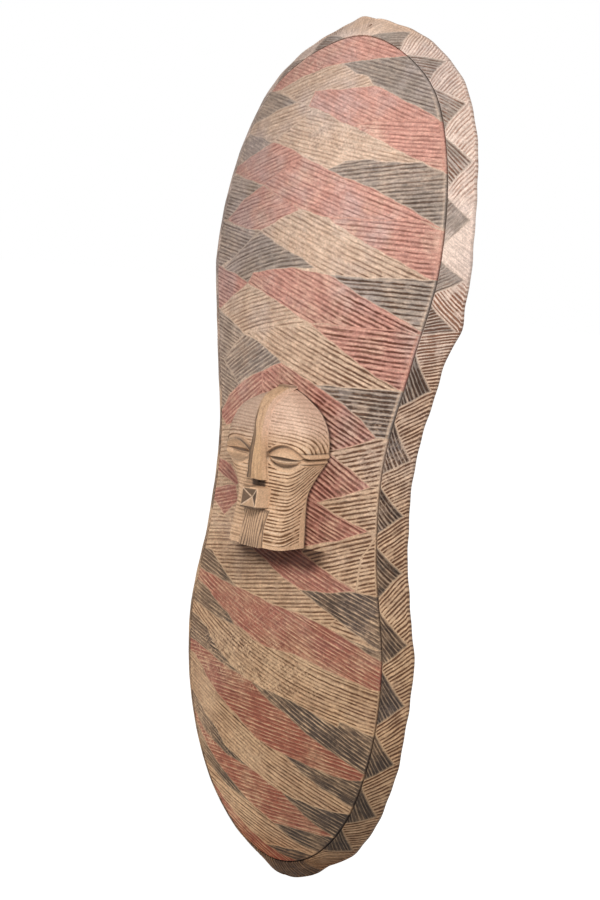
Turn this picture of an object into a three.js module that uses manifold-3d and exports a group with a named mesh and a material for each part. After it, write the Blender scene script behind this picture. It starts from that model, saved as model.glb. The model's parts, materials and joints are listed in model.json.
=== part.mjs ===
// Carved wooden shield: a convex, hollow-backed board in the shape of a long figure of eight,
// a stylised mask carved by itself and pegged to its front, and a pegged hand grip in its hollow.
// Millimetres, +Z up. The front faces -Y, and the origin is the middle of the hand grip.
// The board is drawn with depths measured forward from the wall plane that its two tips rest on.
import * as THREE from 'three';
import { mergeVertices } from 'three/addons/utils/BufferGeometryUtils.js';
import Module from 'manifold-3d';

const wasm = await Module();
wasm.setup();

// Board
const boardLength = 800;
const upperLobeWidth = 282;
const waistWidth = 222;
const lowerLobeWidth = 260;
const lengthBow = 28; // how far the middle of the rim stands forward of the tips
const footFlat = 24; // length of the flat that each tip rests on
const rimEdge = 6; // thickness of the board at its outline
const rimRound = 1.6;
const rimLand = 9; // flat land between the outline and the hollow
const tipLand = 22; // the same land where it widens at the tips
const flankRun = 18; // sloped border, measured across
const flankRise = 19;
const flankBulge = 1;
const creaseWidth = 3; // incised line between border and panel
const creaseDepth = 2;
const creaseLip = 1.5; // step from the border up to the panel
const panelCrown = 18; // rise of the panel from the crease to its middle
const boardWall = 12;
const hollowRun = 15; // width of the curve that the hollow rises in
const hangHole = 3.4; // diameter of the nail hole in the upper tip
const hangHoleDrop = 8;

// Mask
const maskHeight = 140.5;
const maskWidth = 92;
const maskDepth = 36.5;
const maskFoot = -72.5; // height of the chin's underside, from the grip's middle
const maskOffset = -1; // the mask sits slightly to one side
const maskSquareness = 8; // power of the superellipse that rounds its sections
const crestRise = 6.5;
const crestTopWidth = 6.6;
const crestBaseWidth = 13;
const noseFoot = 60; // height of the nose's underside above the chin's
const eyeHeight = 82; // middle of the eyes above the chin's underside
const eyeSpacing = 51.5;
const eyeLength = 35.5;
const eyeOpening = 17;
const eyeTurn = THREE.MathUtils.degToRad(13); // each eye faces a little outwards
const lidRise = 2.6; // how far the lids stand out of the face
const lidRound = 3.6; // width of the lids' rounded edge
const socketDepth = 2.6;
const socketMargin = 4;
const slitWidth = 1.4;
const slitDepth = 1.8;
const mouthHeight = 44; // middle of the mouth above the chin's underside
const mouthWidth = 18;
const mouthReach = 15.8; // how far the mouth stands out of the face
const mouthFrame = 2; // flat edge left round the sunk pyramid
const mouthSink = 5;
const beardWidth = 23;
const beardHeight = 33;
const beardRise = 2.5;

// Grip
const gripSpan = 130; // clear length for the hand
const gripDepth = 13; // middle of the bar, forward of the wall plane
const barThickness = 22;
const barWaist = 19;
const barOval = 1.25; // width of the bar as a multiple of its thickness
const tenonDiameter = 14;
const tenonLength = 24;
const blockHeight = 34;
const blockPost = 38; // width of the post that holds the bar
const blockFoot = 80; // width over the two ears
const earThickness = 10;
const blockRound = 6;
const blockChamfer = 1.5;

// Pegs
const maskPegDiameter = 8;
const maskPegHold = 12; // length inside the mask
const maskPegSeat = 8; // length inside the board, which it doesn't go through
const upperPegSpacing = 50;
const upperPegHeight = 111; // above the chin's underside
const lowerPegSpacing = 32;
const lowerPegHeight = 25;
const gripPegDiameter = 7;
const gripPegSpacing = 58;
const gripPegHold = 8; // length inside the board
const lockPegDiameter = 5;
const pegProud = 1;
const pegChamfer = 0.7;

// Fits and facets
const seatGap = 0.3; // between pieces that touch
const overrun = 5; // how far a cut passes the surface it leaves by
const weldGap = 0.0001; // corners nearer than this are one corner
const spanSteps = 4; // facets of the outline between two of its points
const panelRings = 8;
const maskRows = 34;
const maskColumns = 32;
const ridgeRows = 12;
const roundFacets = 20;

// Each point of the outline: share of half the length, the width it follows, share of half that width.
const outlineShares = [
  [0.97, upperLobeWidth, 0.333],
  [0.87, upperLobeWidth, 0.71],
  [0.7, upperLobeWidth, 0.925],
  [0.46, upperLobeWidth, 1],
  [0.24, upperLobeWidth, 0.895],
  [0.03, waistWidth, 1],
  [-0.17, waistWidth, 1.027],
  [-0.42, lowerLobeWidth, 1],
  [-0.66, lowerLobeWidth, 0.93],
  [-0.85, lowerLobeWidth, 0.7],
  [-0.965, lowerLobeWidth, 0.36],
];
const slitShare = 0.8; // length of the slit between the lids, as a share of the eye's
const spineShare = 0.72; // length of the ridge line that the panel's rings shrink to
const tipLandShare = 0.86; // share of half the length beyond which the land widens
const hollowKneeRunShare = 0.35; // where the hollow's curved side turns over
const hollowKneeRiseShare = 0.6;

const neckShare = 0.75; // where the bar starts to swell, as a share of half its clear length
const swellShare = 0.4; // where it is halfway to its full thickness

// Mask outline: share of its height, share of half its width.
const maskOutlineShares = [
  [0, 0.67],
  [0.12, 0.655],
  [0.24, 0.635],
  [0.34, 0.645],
  [0.46, 0.8],
  [0.57, 0.97],
  [0.65, 1],
  [0.745, 0.955],
  [0.81, 0.87],
  [0.87, 0.735],
  [0.925, 0.51],
  [0.968, 0.27],
  [1, 0],
];
// Mask profile: share of its height, share of its depth, share of that depth that is crown.
const maskProfileShares = [
  [0, 1.01, 0.05],
  [0.1, 0.98, 0.06],
  [0.2, 0.91, 0.08],
  [0.3, 0.87, 0.1],
  [0.4, 0.9, 0.12],
  [0.52, 0.97, 0.15],
  [0.66, 1, 0.17],
  [0.78, 0.98, 0.16],
  [0.86, 0.91, 0.13],
  [0.92, 0.76, 0.15],
  [0.965, 0.5, 0.2],
  [1, 0.15, 0.3],
];
// Crest and nose: share of the mask's height, shares of the crest's top width, base width and rise.
const crestShares = [
  [noseFoot / maskHeight, 0.45, 1.7, 1.1],
  [0.48, 0.55, 1.5, 1.05],
  [0.55, 0.85, 1.15, 1],
  [0.64, 1, 1, 1],
  [0.8, 1, 1, 1],
  [0.9, 1.15, 1.1, 0.95],
  [0.95, 1.25, 1.1, 0.6],
  [0.98, 1.2, 0.95, 0.1],
];
const rowCrowdingShare = 0.5; // how much closer the mask's rows lie towards its top
// Beard: share of its height, shares of its top width, base width and rise.
const beardShares = [
  [0, 1, 1.1, 1.3],
  [0.5, 0.9, 1, 1],
  [0.75, 0.95, 1.05, 1],
  [1, 1.05, 1.2, 0.6],
];

const halfLength = boardLength / 2;
const creaseHeight = rimEdge + flankRise;
const hollowHeight = creaseHeight - boardWall;

const woods = {
  board: new THREE.MeshStandardMaterial({ color: 0xb08a68, roughness: 0.85, metalness: 0 }),
  mask: new THREE.MeshStandardMaterial({ color: 0xc39b70, roughness: 0.8, metalness: 0 }),
  grip: new THREE.MeshStandardMaterial({ color: 0x8d6a4a, roughness: 0.65, metalness: 0 }),
  peg: new THREE.MeshStandardMaterial({ color: 0x77563a, roughness: 0.75, metalness: 0 }),
};

// General tools

function solidOf(geometry) {
  const bare = geometry.clone();
  bare.deleteAttribute('normal');
  bare.deleteAttribute('uv');
  const merged = mergeVertices(bare, weldGap);
  const corners = merged.index.array;
  const kept = [];
  for (let i = 0; i < corners.length; i += 3) {
    const [a, b, c] = [corners[i], corners[i + 1], corners[i + 2]];
    if (a !== b && b !== c && c !== a) kept.push(a, b, c);
  }
  return new wasm.Manifold(new wasm.Mesh({
    numProp: 3,
    vertProperties: new Float32Array(merged.attributes.position.array),
    triVerts: new Uint32Array(kept),
  }));
}

function geometryOf(solid) {
  const mesh = solid.getMesh();
  const geometry = new THREE.BufferGeometry();
  geometry.setAttribute('position', new THREE.BufferAttribute(new Float32Array(mesh.vertProperties), 3));
  geometry.setIndex(new THREE.BufferAttribute(new Uint32Array(mesh.triVerts), 1));
  geometry.computeVertexNormals();
  return geometry;
}

// Joins closed loops of equal length, one after the other, into a closed surface. A loop whose
// points all fall on one point or one line closes that end.
function skin(loops) {
  const size = loops[0].length;
  const positions = loops.flat().flatMap((point) => [point.x, point.y, point.z]);
  const index = [];
  for (let ring = 0; ring + 1 < loops.length; ring += 1) {
    for (let i = 0; i < size; i += 1) {
      const next = (i + 1) % size;
      const [a, b] = [ring * size + i, ring * size + next];
      index.push(a, b + size, b, a, a + size, b + size);
    }
  }
  const geometry = new THREE.BufferGeometry();
  geometry.setAttribute('position', new THREE.Float32BufferAttribute(positions, 3));
  geometry.setIndex(index);
  return geometry;
}

function collapsed(loop) {
  const middle = loop.reduce((sum, point) => sum.add(point), new THREE.Vector3()).divideScalar(loop.length);
  return loop.map(() => middle.clone());
}

function curveThrough(rows) {
  return new THREE.SplineCurve(rows.map(([along, value]) => new THREE.Vector2(along, value)));
}

// Value of a table of shares at a place along it, on a smooth curve through its rows.
function readShares(curve, along) {
  let [low, high] = [0, 1];
  for (let step = 0; step < 30; step += 1) {
    const middle = (low + high) / 2;
    if (curve.getPoint(middle).x < along) low = middle;
    else high = middle;
  }
  return curve.getPoint((low + high) / 2).y;
}

function moved(geometry, x, y, z) {
  return geometry.translate(x, y, z);
}

// A round peg along Y from one depth to another, with chamfered ends.
function pegAlongY(diameter, x, z, fromDepth, toDepth, chamfer) {
  const radius = diameter / 2;
  const length = toDepth - fromDepth;
  const profile = [
    new THREE.Vector2(0, 0),
    new THREE.Vector2(radius - chamfer, 0),
    new THREE.Vector2(radius, chamfer),
    new THREE.Vector2(radius, length - chamfer),
    new THREE.Vector2(radius - chamfer, length),
    new THREE.Vector2(0, length),
  ];
  return moved(new THREE.LatheGeometry(profile, roundFacets).rotateX(Math.PI), x, -fromDepth, z);
}

function boreAlongY(diameter, x, z, fromDepth, toDepth) {
  const bore = new THREE.CylinderGeometry(diameter / 2, diameter / 2, toDepth - fromDepth, roundFacets);
  return solidOf(moved(bore, x, -(fromDepth + toDepth) / 2, z));
}

// Board surfaces

function bowAt(z) {
  const reach = halfLength - footFlat;
  return lengthBow * Math.max(0, 1 - (z / reach) ** 2);
}

function outlineLoop() {
  const right = outlineShares.map(([heightShare, width, widthShare]) =>
    new THREE.Vector3((widthShare * width) / 2, 0, heightShare * halfLength));
  const left = right.map((point) => new THREE.Vector3(-point.x, 0, point.z)).reverse();
  const top = new THREE.Vector3(0, 0, halfLength);
  const bottom = new THREE.Vector3(0, 0, -halfLength);
  const points = [top, ...right, bottom, ...left];
  const curve = new THREE.CatmullRomCurve3(points, true, 'centripetal');
  return curve.getPoints(points.length * spanSteps).slice(0, -1);
}

const outline = outlineLoop();
const inwards = outline.map((point, i) => {
  const before = outline[(i + outline.length - 1) % outline.length];
  const after = outline[(i + 1) % outline.length];
  const along = after.clone().sub(before).normalize();
  return new THREE.Vector3(along.z, 0, -along.x);
});

// A loop a given way inside the outline and a given depth forward of the bowed rim.
function rimLoop(insetAt, depth) {
  return outline.map((point, i) => {
    const place = point.clone().addScaledVector(inwards[i], insetAt(point.z));
    place.y = -(bowAt(place.z) + depth);
    return place;
  });
}

// Rings that shrink from a loop to the spine line, rising with the crown of the panel.
function crownRings(loop, baseHeight, startShare) {
  return Array.from({ length: panelRings }, (_, ring) => {
    const share = (ring + 1) / panelRings;
    const rise = startShare + (1 - startShare) * share;
    return loop.map((point) => {
      const x = point.x * (1 - share);
      const z = point.z * (1 - share + spineShare * share);
      return new THREE.Vector3(x, -(bowAt(z) + baseHeight + panelCrown * rise * (2 - rise)), z);
    });
  });
}

function landAt(z) {
  const past = (Math.abs(z) / halfLength - tipLandShare) / (1 - tipLandShare);
  return rimLand + (tipLand - rimLand) * THREE.MathUtils.smoothstep(past, 0, 1);
}

function frontLoops() {
  const panelEdge = rimLoop(() => flankRun + creaseWidth / 2, creaseHeight);
  return [
    rimLoop(() => 0, 0),
    rimLoop(() => 0, rimEdge - rimRound),
    rimLoop(() => rimRound, rimEdge),
    rimLoop(() => flankRun / 2, rimEdge + flankRise / 2 + flankBulge),
    rimLoop(() => flankRun - creaseWidth / 2, creaseHeight - creaseLip),
    rimLoop(() => flankRun, creaseHeight - creaseLip - creaseDepth),
    panelEdge,
    ...crownRings(panelEdge, creaseHeight, 0),
  ];
}

function backLoops() {
  const hollowStartShare = (rimLand + hollowRun - flankRun) / (waistWidth / 2 - flankRun);
  const hollowEdge = rimLoop((z) => landAt(z) + hollowRun, hollowHeight);
  return [
    rimLoop(() => 0, 0),
    rimLoop(landAt, 0),
    rimLoop((z) => landAt(z) + hollowRun * hollowKneeRunShare, hollowHeight * hollowKneeRiseShare),
    hollowEdge,
    ...crownRings(hollowEdge, hollowHeight, hollowStartShare),
  ];
}

function shifted(loops, forward) {
  return loops.map((loop) => loop.map((point) => new THREE.Vector3(point.x, point.y - forward, point.z)));
}

function atDepth(loop, depth) {
  return loop.map((point) => new THREE.Vector3(point.x, -depth, point.z));
}

const boardBlank = skin([...backLoops().reverse(), ...frontLoops().slice(1)]);
const boardMesh = new THREE.Mesh(boardBlank, new THREE.MeshStandardMaterial({ side: THREE.DoubleSide }));

// Depth of the board's front or back at a place, forward of the wall plane.
function boardDepth(x, z, side) {
  const start = new THREE.Vector3(x, side * boardLength, z);
  const hits = new THREE.Raycaster(start, new THREE.Vector3(0, -side, 0)).intersectObject(boardMesh);
  return -hits[0].point.y;
}

const frontDepth = (x, z) => boardDepth(x, z, -1);
const backDepth = (x, z) => boardDepth(x, z, 1);

// Everything behind the front face, and everything before the back face, as cutting tools.
function behindFront() {
  const loops = shifted(frontLoops(), seatGap);
  const far = atDepth(loops[0], -boardLength);
  return solidOf(skin([collapsed(far), far, ...loops]));
}

function beforeBack() {
  const loops = shifted(backLoops(), -seatGap);
  const far = atDepth(loops[0], boardLength);
  return solidOf(skin([...loops.reverse(), far, collapsed(far)]));
}

// Mask

const maskOutline = curveThrough(maskOutlineShares);
const maskProfile = curveThrough(maskProfileShares);
const maskCrown = curveThrough(maskProfileShares.map(([height, , crown]) => [height, crown]));

const maskHeightOf = (share) => maskFoot + maskHeight * share;
const faceBase = (z) => frontDepth(0, z);
const faceDepth = (share) => maskDepth * readShares(maskProfile, share);

function maskRow(share) {
  const z = maskHeightOf(share);
  const halfWidth = Math.max((maskWidth / 2) * readShares(maskOutline, share), seatGap);
  const crown = faceDepth(share) * readShares(maskCrown, share);
  const depth = faceDepth(share) - crown;
  const power = 2 / maskSquareness;
  const steps = maskColumns * 4;
  const arc = Array.from({ length: steps + 1 }, (_, i) => {
    const angle = (Math.PI * i) / steps;
    const across = Math.sign(Math.cos(angle)) * Math.abs(Math.cos(angle)) ** power;
    const rise = depth * Math.sin(angle) ** power + crown * (1 - across ** 2);
    return new THREE.Vector2(halfWidth * across, rise);
  });
  const spaced = new THREE.Path().setFromPoints(arc).getSpacedPoints(maskColumns);
  const front = spaced.map((point) => new THREE.Vector3(maskOffset + point.x, -(faceBase(z) + point.y), z));
  const foot = -(faceBase(z) - panelCrown);
  return [
    ...front,
    new THREE.Vector3(maskOffset - halfWidth, foot, z),
    new THREE.Vector3(maskOffset + halfWidth, foot, z),
  ];
}

function maskBlank() {
  // Rows lie closer towards the rounded top.
  const rows = Array.from({ length: maskRows + 1 }, (_, row) => {
    const share = row / maskRows;
    return maskRow(share * (1 + rowCrowdingShare * (1 - share) * share));
  });
  return solidOf(skin([collapsed(rows[0]), ...rows, collapsed(rows[maskRows])]));
}

// A raised ridge on the middle of the face, from a table of shares of its widths and rise.
function ridge(table, height, topWidth, baseWidth, ridgeRise) {
  const curves = [1, 2, 3].map((column) => curveThrough(table.map((row) => [row[0], row[column]])));
  const [first, last] = [table[0][0], table.at(-1)[0]];
  const loops = Array.from({ length: ridgeRows + 1 }, (_, row) => {
    const share = first + ((last - first) * row) / ridgeRows;
    const [top, base, rise] = curves.map((curve) => readShares(curve, share));
    const z = maskFoot + height * share;
    const face = faceBase(z) + faceDepth((height * share) / maskHeight);
    return [
      [(base * baseWidth) / 2, face - crestRise],
      [(base * baseWidth) / 2, face],
      [(top * topWidth) / 2, face + rise * ridgeRise],
      [(-top * topWidth) / 2, face + rise * ridgeRise],
      [(-base * baseWidth) / 2, face],
      [(-base * baseWidth) / 2, face - crestRise],
    ].map(([x, depth]) => new THREE.Vector3(maskOffset + x, -depth, z));
  });
  return solidOf(skin([collapsed(loops[0]), ...loops, collapsed(loops.at(-1))]));
}

// The flat-topped crest runs down the middle of the forehead and spreads into the nose.
function crest() {
  return ridge(crestShares, maskHeight, crestTopWidth, crestBaseWidth, crestRise);
}

function beard() {
  return ridge(beardShares, beardHeight, beardWidth, beardWidth, beardRise);
}

// The mouth is a square block whose end is cut in as four triangles that meet in the middle.
function mouth() {
  const z = maskFoot + mouthHeight;
  const face = faceBase(z) + faceDepth(mouthHeight / maskHeight);
  const length = mouthReach + maskDepth / 2;
  const block = new THREE.BoxGeometry(mouthWidth, length, mouthWidth);
  const front = face + mouthReach;
  const solid = solidOf(moved(block, maskOffset, -(front - length / 2), z));
  const opening = (mouthWidth - 2 * mouthFrame) * Math.SQRT2;
  const pyramid = new THREE.ConeGeometry(opening, 2 * mouthSink, 4).rotateY(Math.PI / 4);
  return solid.subtract(solidOf(moved(pyramid, maskOffset, -front, z)));
}

// An almond outline between two corners, as two arcs.
function almond(length, opening) {
  const shape = new THREE.Shape();
  shape.moveTo(-length / 2, 0);
  shape.quadraticCurveTo(0, opening, length / 2, 0);
  shape.quadraticCurveTo(0, -opening, -length / 2, 0);
  return shape;
}

// Turns a shape made round the origin to face outwards and sets it on the face at an eye's middle.
function atEye(geometry, side) {
  const z = maskFoot + eyeHeight;
  const share = eyeHeight / maskHeight;
  const across = eyeSpacing / maskWidth;
  const depth = faceDepth(share) * (1 - readShares(maskCrown, share) * across ** 2);
  const x = maskOffset + (side * eyeSpacing) / 2;
  return solidOf(moved(geometry.rotateZ(side * eyeTurn), x, -(faceBase(z) + depth), z));
}

// A dish cut round each eye, as a flattened ball.
function eyeSocket(side) {
  const across = eyeLength / 2 + socketMargin;
  const up = eyeOpening / 2 + socketMargin;
  const dish = new THREE.SphereGeometry(1, 2 * roundFacets, roundFacets).scale(across, socketDepth * 2, up);
  return atEye(moved(dish, 0, -socketDepth, 0), side);
}

// Two closed lids as one rounded almond, parted by a thin slit.
function eyeLids(side) {
  const lid = new THREE.ExtrudeGeometry(almond(eyeLength, eyeOpening), {
    depth: socketDepth,
    bevelSize: lidRound,
    bevelThickness: lidRise + socketDepth,
    bevelOffset: -lidRound,
    bevelSegments: 4,
    curveSegments: 8,
  });
  moved(lid.rotateX(Math.PI / 2), 0, socketDepth * 2, 0);
  const cut = new THREE.ExtrudeGeometry(almond(eyeLength * slitShare, slitWidth), {
    depth: slitDepth + overrun,
    bevelEnabled: false,
    curveSegments: 6,
  });
  moved(cut.rotateX(Math.PI / 2), 0, slitDepth - lidRise, 0);
  return atEye(lid, side).subtract(atEye(cut, side));
}

const maskPegs = [
  [-upperPegSpacing / 2, maskFoot + upperPegHeight],
  [upperPegSpacing / 2, maskFoot + upperPegHeight],
  [-lowerPegSpacing / 2, maskFoot + lowerPegHeight],
  [lowerPegSpacing / 2, maskFoot + lowerPegHeight],
].map(([x, z]) => {
  const place = maskOffset + x;
  const face = frontDepth(place, z);
  return { x: place, z, from: face - maskPegSeat, to: face + maskPegHold };
});

function maskSolid() {
  let solid = maskBlank().subtract(eyeSocket(-1)).subtract(eyeSocket(1));
  solid = solid.add(eyeLids(-1)).add(eyeLids(1)).add(crest()).add(mouth()).add(beard());
  solid = solid.subtract(behindFront());
  for (const peg of maskPegs) {
    solid = solid.subtract(boreAlongY(maskPegDiameter + 2 * seatGap, peg.x, peg.z, peg.from, peg.to + seatGap));
  }
  return solid;
}

// Grip

const blockMiddle = (gripSpan + blockHeight) / 2;
const earBack = (side) => backDepth(0, side * blockMiddle) - earThickness;

const gripPegs = [1, -1].flatMap((vertical) => [-1, 1].map((sideways) => {
  const x = (sideways * gripPegSpacing) / 2;
  const z = vertical * blockMiddle;
  return { x, z, from: earBack(vertical) - pegProud, to: backDepth(x, z) + gripPegHold };
}));

// Section of a block seen from above: a post with round corners on two ears.
function blockShape(earDepth) {
  const back = gripDepth - barThickness / 2 - seatGap;
  const deep = earDepth + boardWall * 2;
  const post = blockPost / 2;
  const foot = blockFoot / 2;
  const shape = new THREE.Shape();
  shape.moveTo(-post + blockRound, back);
  shape.lineTo(post - blockRound, back);
  shape.quadraticCurveTo(post, back, post, back + blockRound);
  shape.lineTo(post, earDepth - blockRound);
  shape.quadraticCurveTo(post, earDepth, post + blockRound, earDepth);
  shape.lineTo(foot, earDepth);
  shape.lineTo(foot, deep);
  shape.lineTo(-foot, deep);
  shape.lineTo(-foot, earDepth);
  shape.lineTo(-post - blockRound, earDepth);
  shape.quadraticCurveTo(-post, earDepth, -post, earDepth - blockRound);
  shape.lineTo(-post, back + blockRound);
  shape.quadraticCurveTo(-post, back, -post + blockRound, back);
  return shape;
}

function blockSolid(side) {
  const blank = new THREE.ExtrudeGeometry(blockShape(earBack(side)), {
    depth: blockHeight - 2 * blockChamfer,
    bevelSize: blockChamfer,
    bevelThickness: blockChamfer,
    bevelOffset: -blockChamfer,
    bevelSegments: 1,
    curveSegments: 5,
  });
  blank.rotateX(Math.PI);
  moved(blank, 0, 0, side * blockMiddle + blockHeight / 2 - blockChamfer);
  const socketLength = tenonLength + seatGap + overrun;
  const socket = new THREE.CylinderGeometry(
    tenonDiameter / 2 + seatGap, tenonDiameter / 2 + seatGap, socketLength, roundFacets).rotateX(Math.PI / 2);
  const socketEnd = gripSpan / 2 + tenonLength + seatGap;
  moved(socket, 0, -gripDepth, side * (socketEnd - socketLength / 2));
  let solid = solidOf(blank).subtract(beforeBack()).subtract(solidOf(socket));
  solid = solid.subtract(lockBore(side));
  for (const peg of gripPegs.filter((one) => Math.sign(one.z) === side)) {
    const bore = boreAlongY(gripPegDiameter + 2 * seatGap, peg.x, peg.z, peg.from - overrun, peg.to + overrun);
    solid = solid.subtract(bore);
  }
  return solid;
}

const lockHeight = (side) => side * (gripSpan / 2 + tenonLength / 2);

function lockBore(side) {
  const radius = lockPegDiameter / 2 + seatGap;
  const bore = new THREE.CylinderGeometry(radius, radius, blockPost + 2 * overrun, roundFacets);
  return solidOf(moved(bore.rotateZ(Math.PI / 2), 0, -gripDepth, lockHeight(side)));
}

// The bar swells in the middle for the palm and is turned down to a round tenon at each end.
function barSolid() {
  const end = gripSpan / 2 - seatGap;
  const tenonEnd = gripSpan / 2 + tenonLength;
  const half = barThickness / 2;
  const neck = barWaist / 2;
  const tenon = tenonDiameter / 2;
  const stations = [
    [-tenonEnd, tenon - pegChamfer, 1],
    [-tenonEnd + pegChamfer, tenon, 1],
    [-end, tenon, 1],
    [-end, neck - pegChamfer, barOval],
    [-end + pegChamfer, neck, barOval],
    [-end * neckShare, neck, barOval],
    [-end * swellShare, (half + neck) / 2, barOval],
    [0, half, barOval],
  ];
  const mirrored = stations.slice(0, -1).reverse().map(([z, radius, oval]) => [-z, radius, oval]);
  const loops = [...stations, ...mirrored].map(([z, radius, oval]) =>
    Array.from({ length: roundFacets }, (_, i) => {
      const angle = (2 * Math.PI * i) / roundFacets;
      return new THREE.Vector3(radius * oval * Math.cos(angle), -gripDepth - radius * Math.sin(angle), z);
    }));
  const bar = solidOf(skin([collapsed(loops[0]), ...loops, collapsed(loops.at(-1))]));
  return bar.subtract(lockBore(1)).subtract(lockBore(-1));
}

function lockPeg(side) {
  const length = blockPost + 2 * pegProud;
  const peg = pegAlongY(lockPegDiameter, 0, 0, -length / 2, length / 2, pegChamfer).rotateZ(Math.PI / 2);
  return moved(peg, 0, -gripDepth, lockHeight(side));
}

// Board with its nail hole and the holes for the pegs

function boardSolid() {
  let solid = solidOf(boardBlank);
  const holeHeight = halfLength - hangHoleDrop;
  solid = solid.subtract(boreAlongY(hangHole, 0, holeHeight, -overrun, creaseHeight + overrun));
  for (const peg of maskPegs) {
    solid = solid.subtract(
      boreAlongY(maskPegDiameter + 2 * seatGap, peg.x, peg.z, peg.from - seatGap, peg.to));
  }
  for (const peg of gripPegs) {
    solid = solid.subtract(
      boreAlongY(gripPegDiameter + 2 * seatGap, peg.x, peg.z, peg.from, peg.to + seatGap));
  }
  return solid;
}

// Assembly

const shield = new THREE.Group();
const parts = new THREE.Group();
parts.position.set(0, gripDepth, 0);
shield.add(parts);

function addPart(name, geometry, wood) {
  const mesh = new THREE.Mesh(geometry, wood.clone());
  mesh.name = name;
  parts.add(mesh);
}

addPart('shield_board', geometryOf(boardSolid()), woods.board);
addPart('mask_carving', geometryOf(maskSolid()), woods.mask);
addPart('upper_grip_block', geometryOf(blockSolid(1)), woods.grip);
addPart('lower_grip_block', geometryOf(blockSolid(-1)), woods.grip);
addPart('grip_bar', geometryOf(barSolid()), woods.grip);
addPart('upper_lock_peg', geometryOf(solidOf(lockPeg(1))), woods.peg);
addPart('lower_lock_peg', geometryOf(solidOf(lockPeg(-1))), woods.peg);
maskPegs.forEach((peg, i) => {
  const geometry = pegAlongY(maskPegDiameter, peg.x, peg.z, peg.from, peg.to, pegChamfer);
  addPart(`mask_peg_${i + 1}`, geometryOf(solidOf(geometry)), woods.peg);
});
gripPegs.forEach((peg, i) => {
  const geometry = pegAlongY(gripPegDiameter, peg.x, peg.z, peg.from, peg.to, pegChamfer);
  addPart(`grip_peg_${i + 1}`, geometryOf(solidOf(geometry)), woods.peg);
});

export default shield;
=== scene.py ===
import json
import math

import bpy
import numpy as np
from mathutils import Matrix, Vector


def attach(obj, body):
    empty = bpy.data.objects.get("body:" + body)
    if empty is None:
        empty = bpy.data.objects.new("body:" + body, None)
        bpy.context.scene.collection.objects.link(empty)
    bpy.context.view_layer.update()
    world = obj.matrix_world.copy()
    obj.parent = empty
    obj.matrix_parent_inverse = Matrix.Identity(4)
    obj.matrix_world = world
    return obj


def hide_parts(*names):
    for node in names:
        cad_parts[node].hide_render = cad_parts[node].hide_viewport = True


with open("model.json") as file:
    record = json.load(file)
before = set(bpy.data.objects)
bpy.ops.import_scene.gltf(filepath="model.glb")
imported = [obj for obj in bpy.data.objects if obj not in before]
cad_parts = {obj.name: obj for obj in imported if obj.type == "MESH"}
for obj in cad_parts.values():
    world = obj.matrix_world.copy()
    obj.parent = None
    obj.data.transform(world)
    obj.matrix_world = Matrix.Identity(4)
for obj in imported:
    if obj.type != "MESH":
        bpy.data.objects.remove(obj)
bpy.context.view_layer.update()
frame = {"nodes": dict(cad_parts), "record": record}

# A carved wooden shield: domed, waisted board with a hatched and pigmented front, a mask pegged to
# its middle, and a pegged hand grip in its hollow. Lengths are in millimetres until a mesh is made.

MM = 0.001

# Board, as the solid model has it
HALF_LENGTH = 400.0
UPPER_WIDTH, WAIST_WIDTH, LOWER_WIDTH = 282.0, 222.0, 260.0
GRIP_DEPTH = 13.0  # the frame's origin lies this far forward of the wall plane
LENGTH_BOW, FOOT_FLAT = 28.0, 24.0
RIM_EDGE, RIM_ROUND = 6.0, 1.6
BORDER_RUN, BORDER_RISE, BORDER_BULGE = 18.0, 19.0, 1.8
# The incised line. Its outer wall starts CREASE_FALL before its middle, and its inner wall ends
# CREASE_CLIMB_END before the panel. CREASE_FLOOR is half the width of its floor.
CREASE_WIDTH, CREASE_DEPTH, CREASE_LIP = 3.0, 2.0, 1.5
CREASE_FLOOR, CREASE_FALL, CREASE_CLIMB_END = 0.1, 0.9, 0.6
PANEL_CROWN, BOARD_WALL = 18.0, 12.0
RIM_LAND, TIP_LAND, TIP_LAND_SHARE = 9.0, 22.0, 0.86
HOLLOW_RUN, SPINE_SHARE = 15.0, 0.72
NAIL_HOLE, NAIL_HOLE_DROP, NAIL_HOLE_DEPTH = 3.4, 8.0, 5.5
PANEL_INSET = BORDER_RUN + CREASE_WIDTH / 2
PANEL_HEIGHT = RIM_EDGE + BORDER_RISE
HOLLOW_HEIGHT = PANEL_HEIGHT - BOARD_WALL

# Outline: share of half the length, width it follows, share of half that width
OUTLINE = [
    (0.97, UPPER_WIDTH, 0.333), (0.87, UPPER_WIDTH, 0.71), (0.7, UPPER_WIDTH, 0.925),
    (0.46, UPPER_WIDTH, 1.0), (0.24, UPPER_WIDTH, 0.895), (0.03, WAIST_WIDTH, 1.0),
    (-0.17, WAIST_WIDTH, 1.027), (-0.42, LOWER_WIDTH, 1.0), (-0.66, LOWER_WIDTH, 0.93),
    (-0.85, LOWER_WIDTH, 0.7), (-0.965, LOWER_WIDTH, 0.36),
]

# Mesh spacing: step between rows, step at a tip, and stretch at a tip over which rows crowd together
FRONT_ROWS, BACK_ROWS = (0.5, 0.06, 3.0), (3.5, 0.1, 40.0)
PANEL_COLUMNS, HOLLOW_COLUMNS = 92, 26  # on each side of the middle
SLAB_CUTS = [-250.0, -85.0, 75.0, 235.0]
TIP_GAP = 0.1  # the first and last rows lie this far from the tips
BACK_EDGE = 0.5  # the small round between rim and back is made as a slope of this height
RIM_INSETS = [0, 0.12, 0.47, 0.99, 1.6]
BORDER_INSETS = [
    *RIM_INSETS, *np.linspace(2.3, 16.3, 21), 16.7, 17.1, 17.5, 17.9, 18.3, 18.7, 19.1, 19.5]
FAR = 99.0  # stands for a distance to something that isn't there

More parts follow.
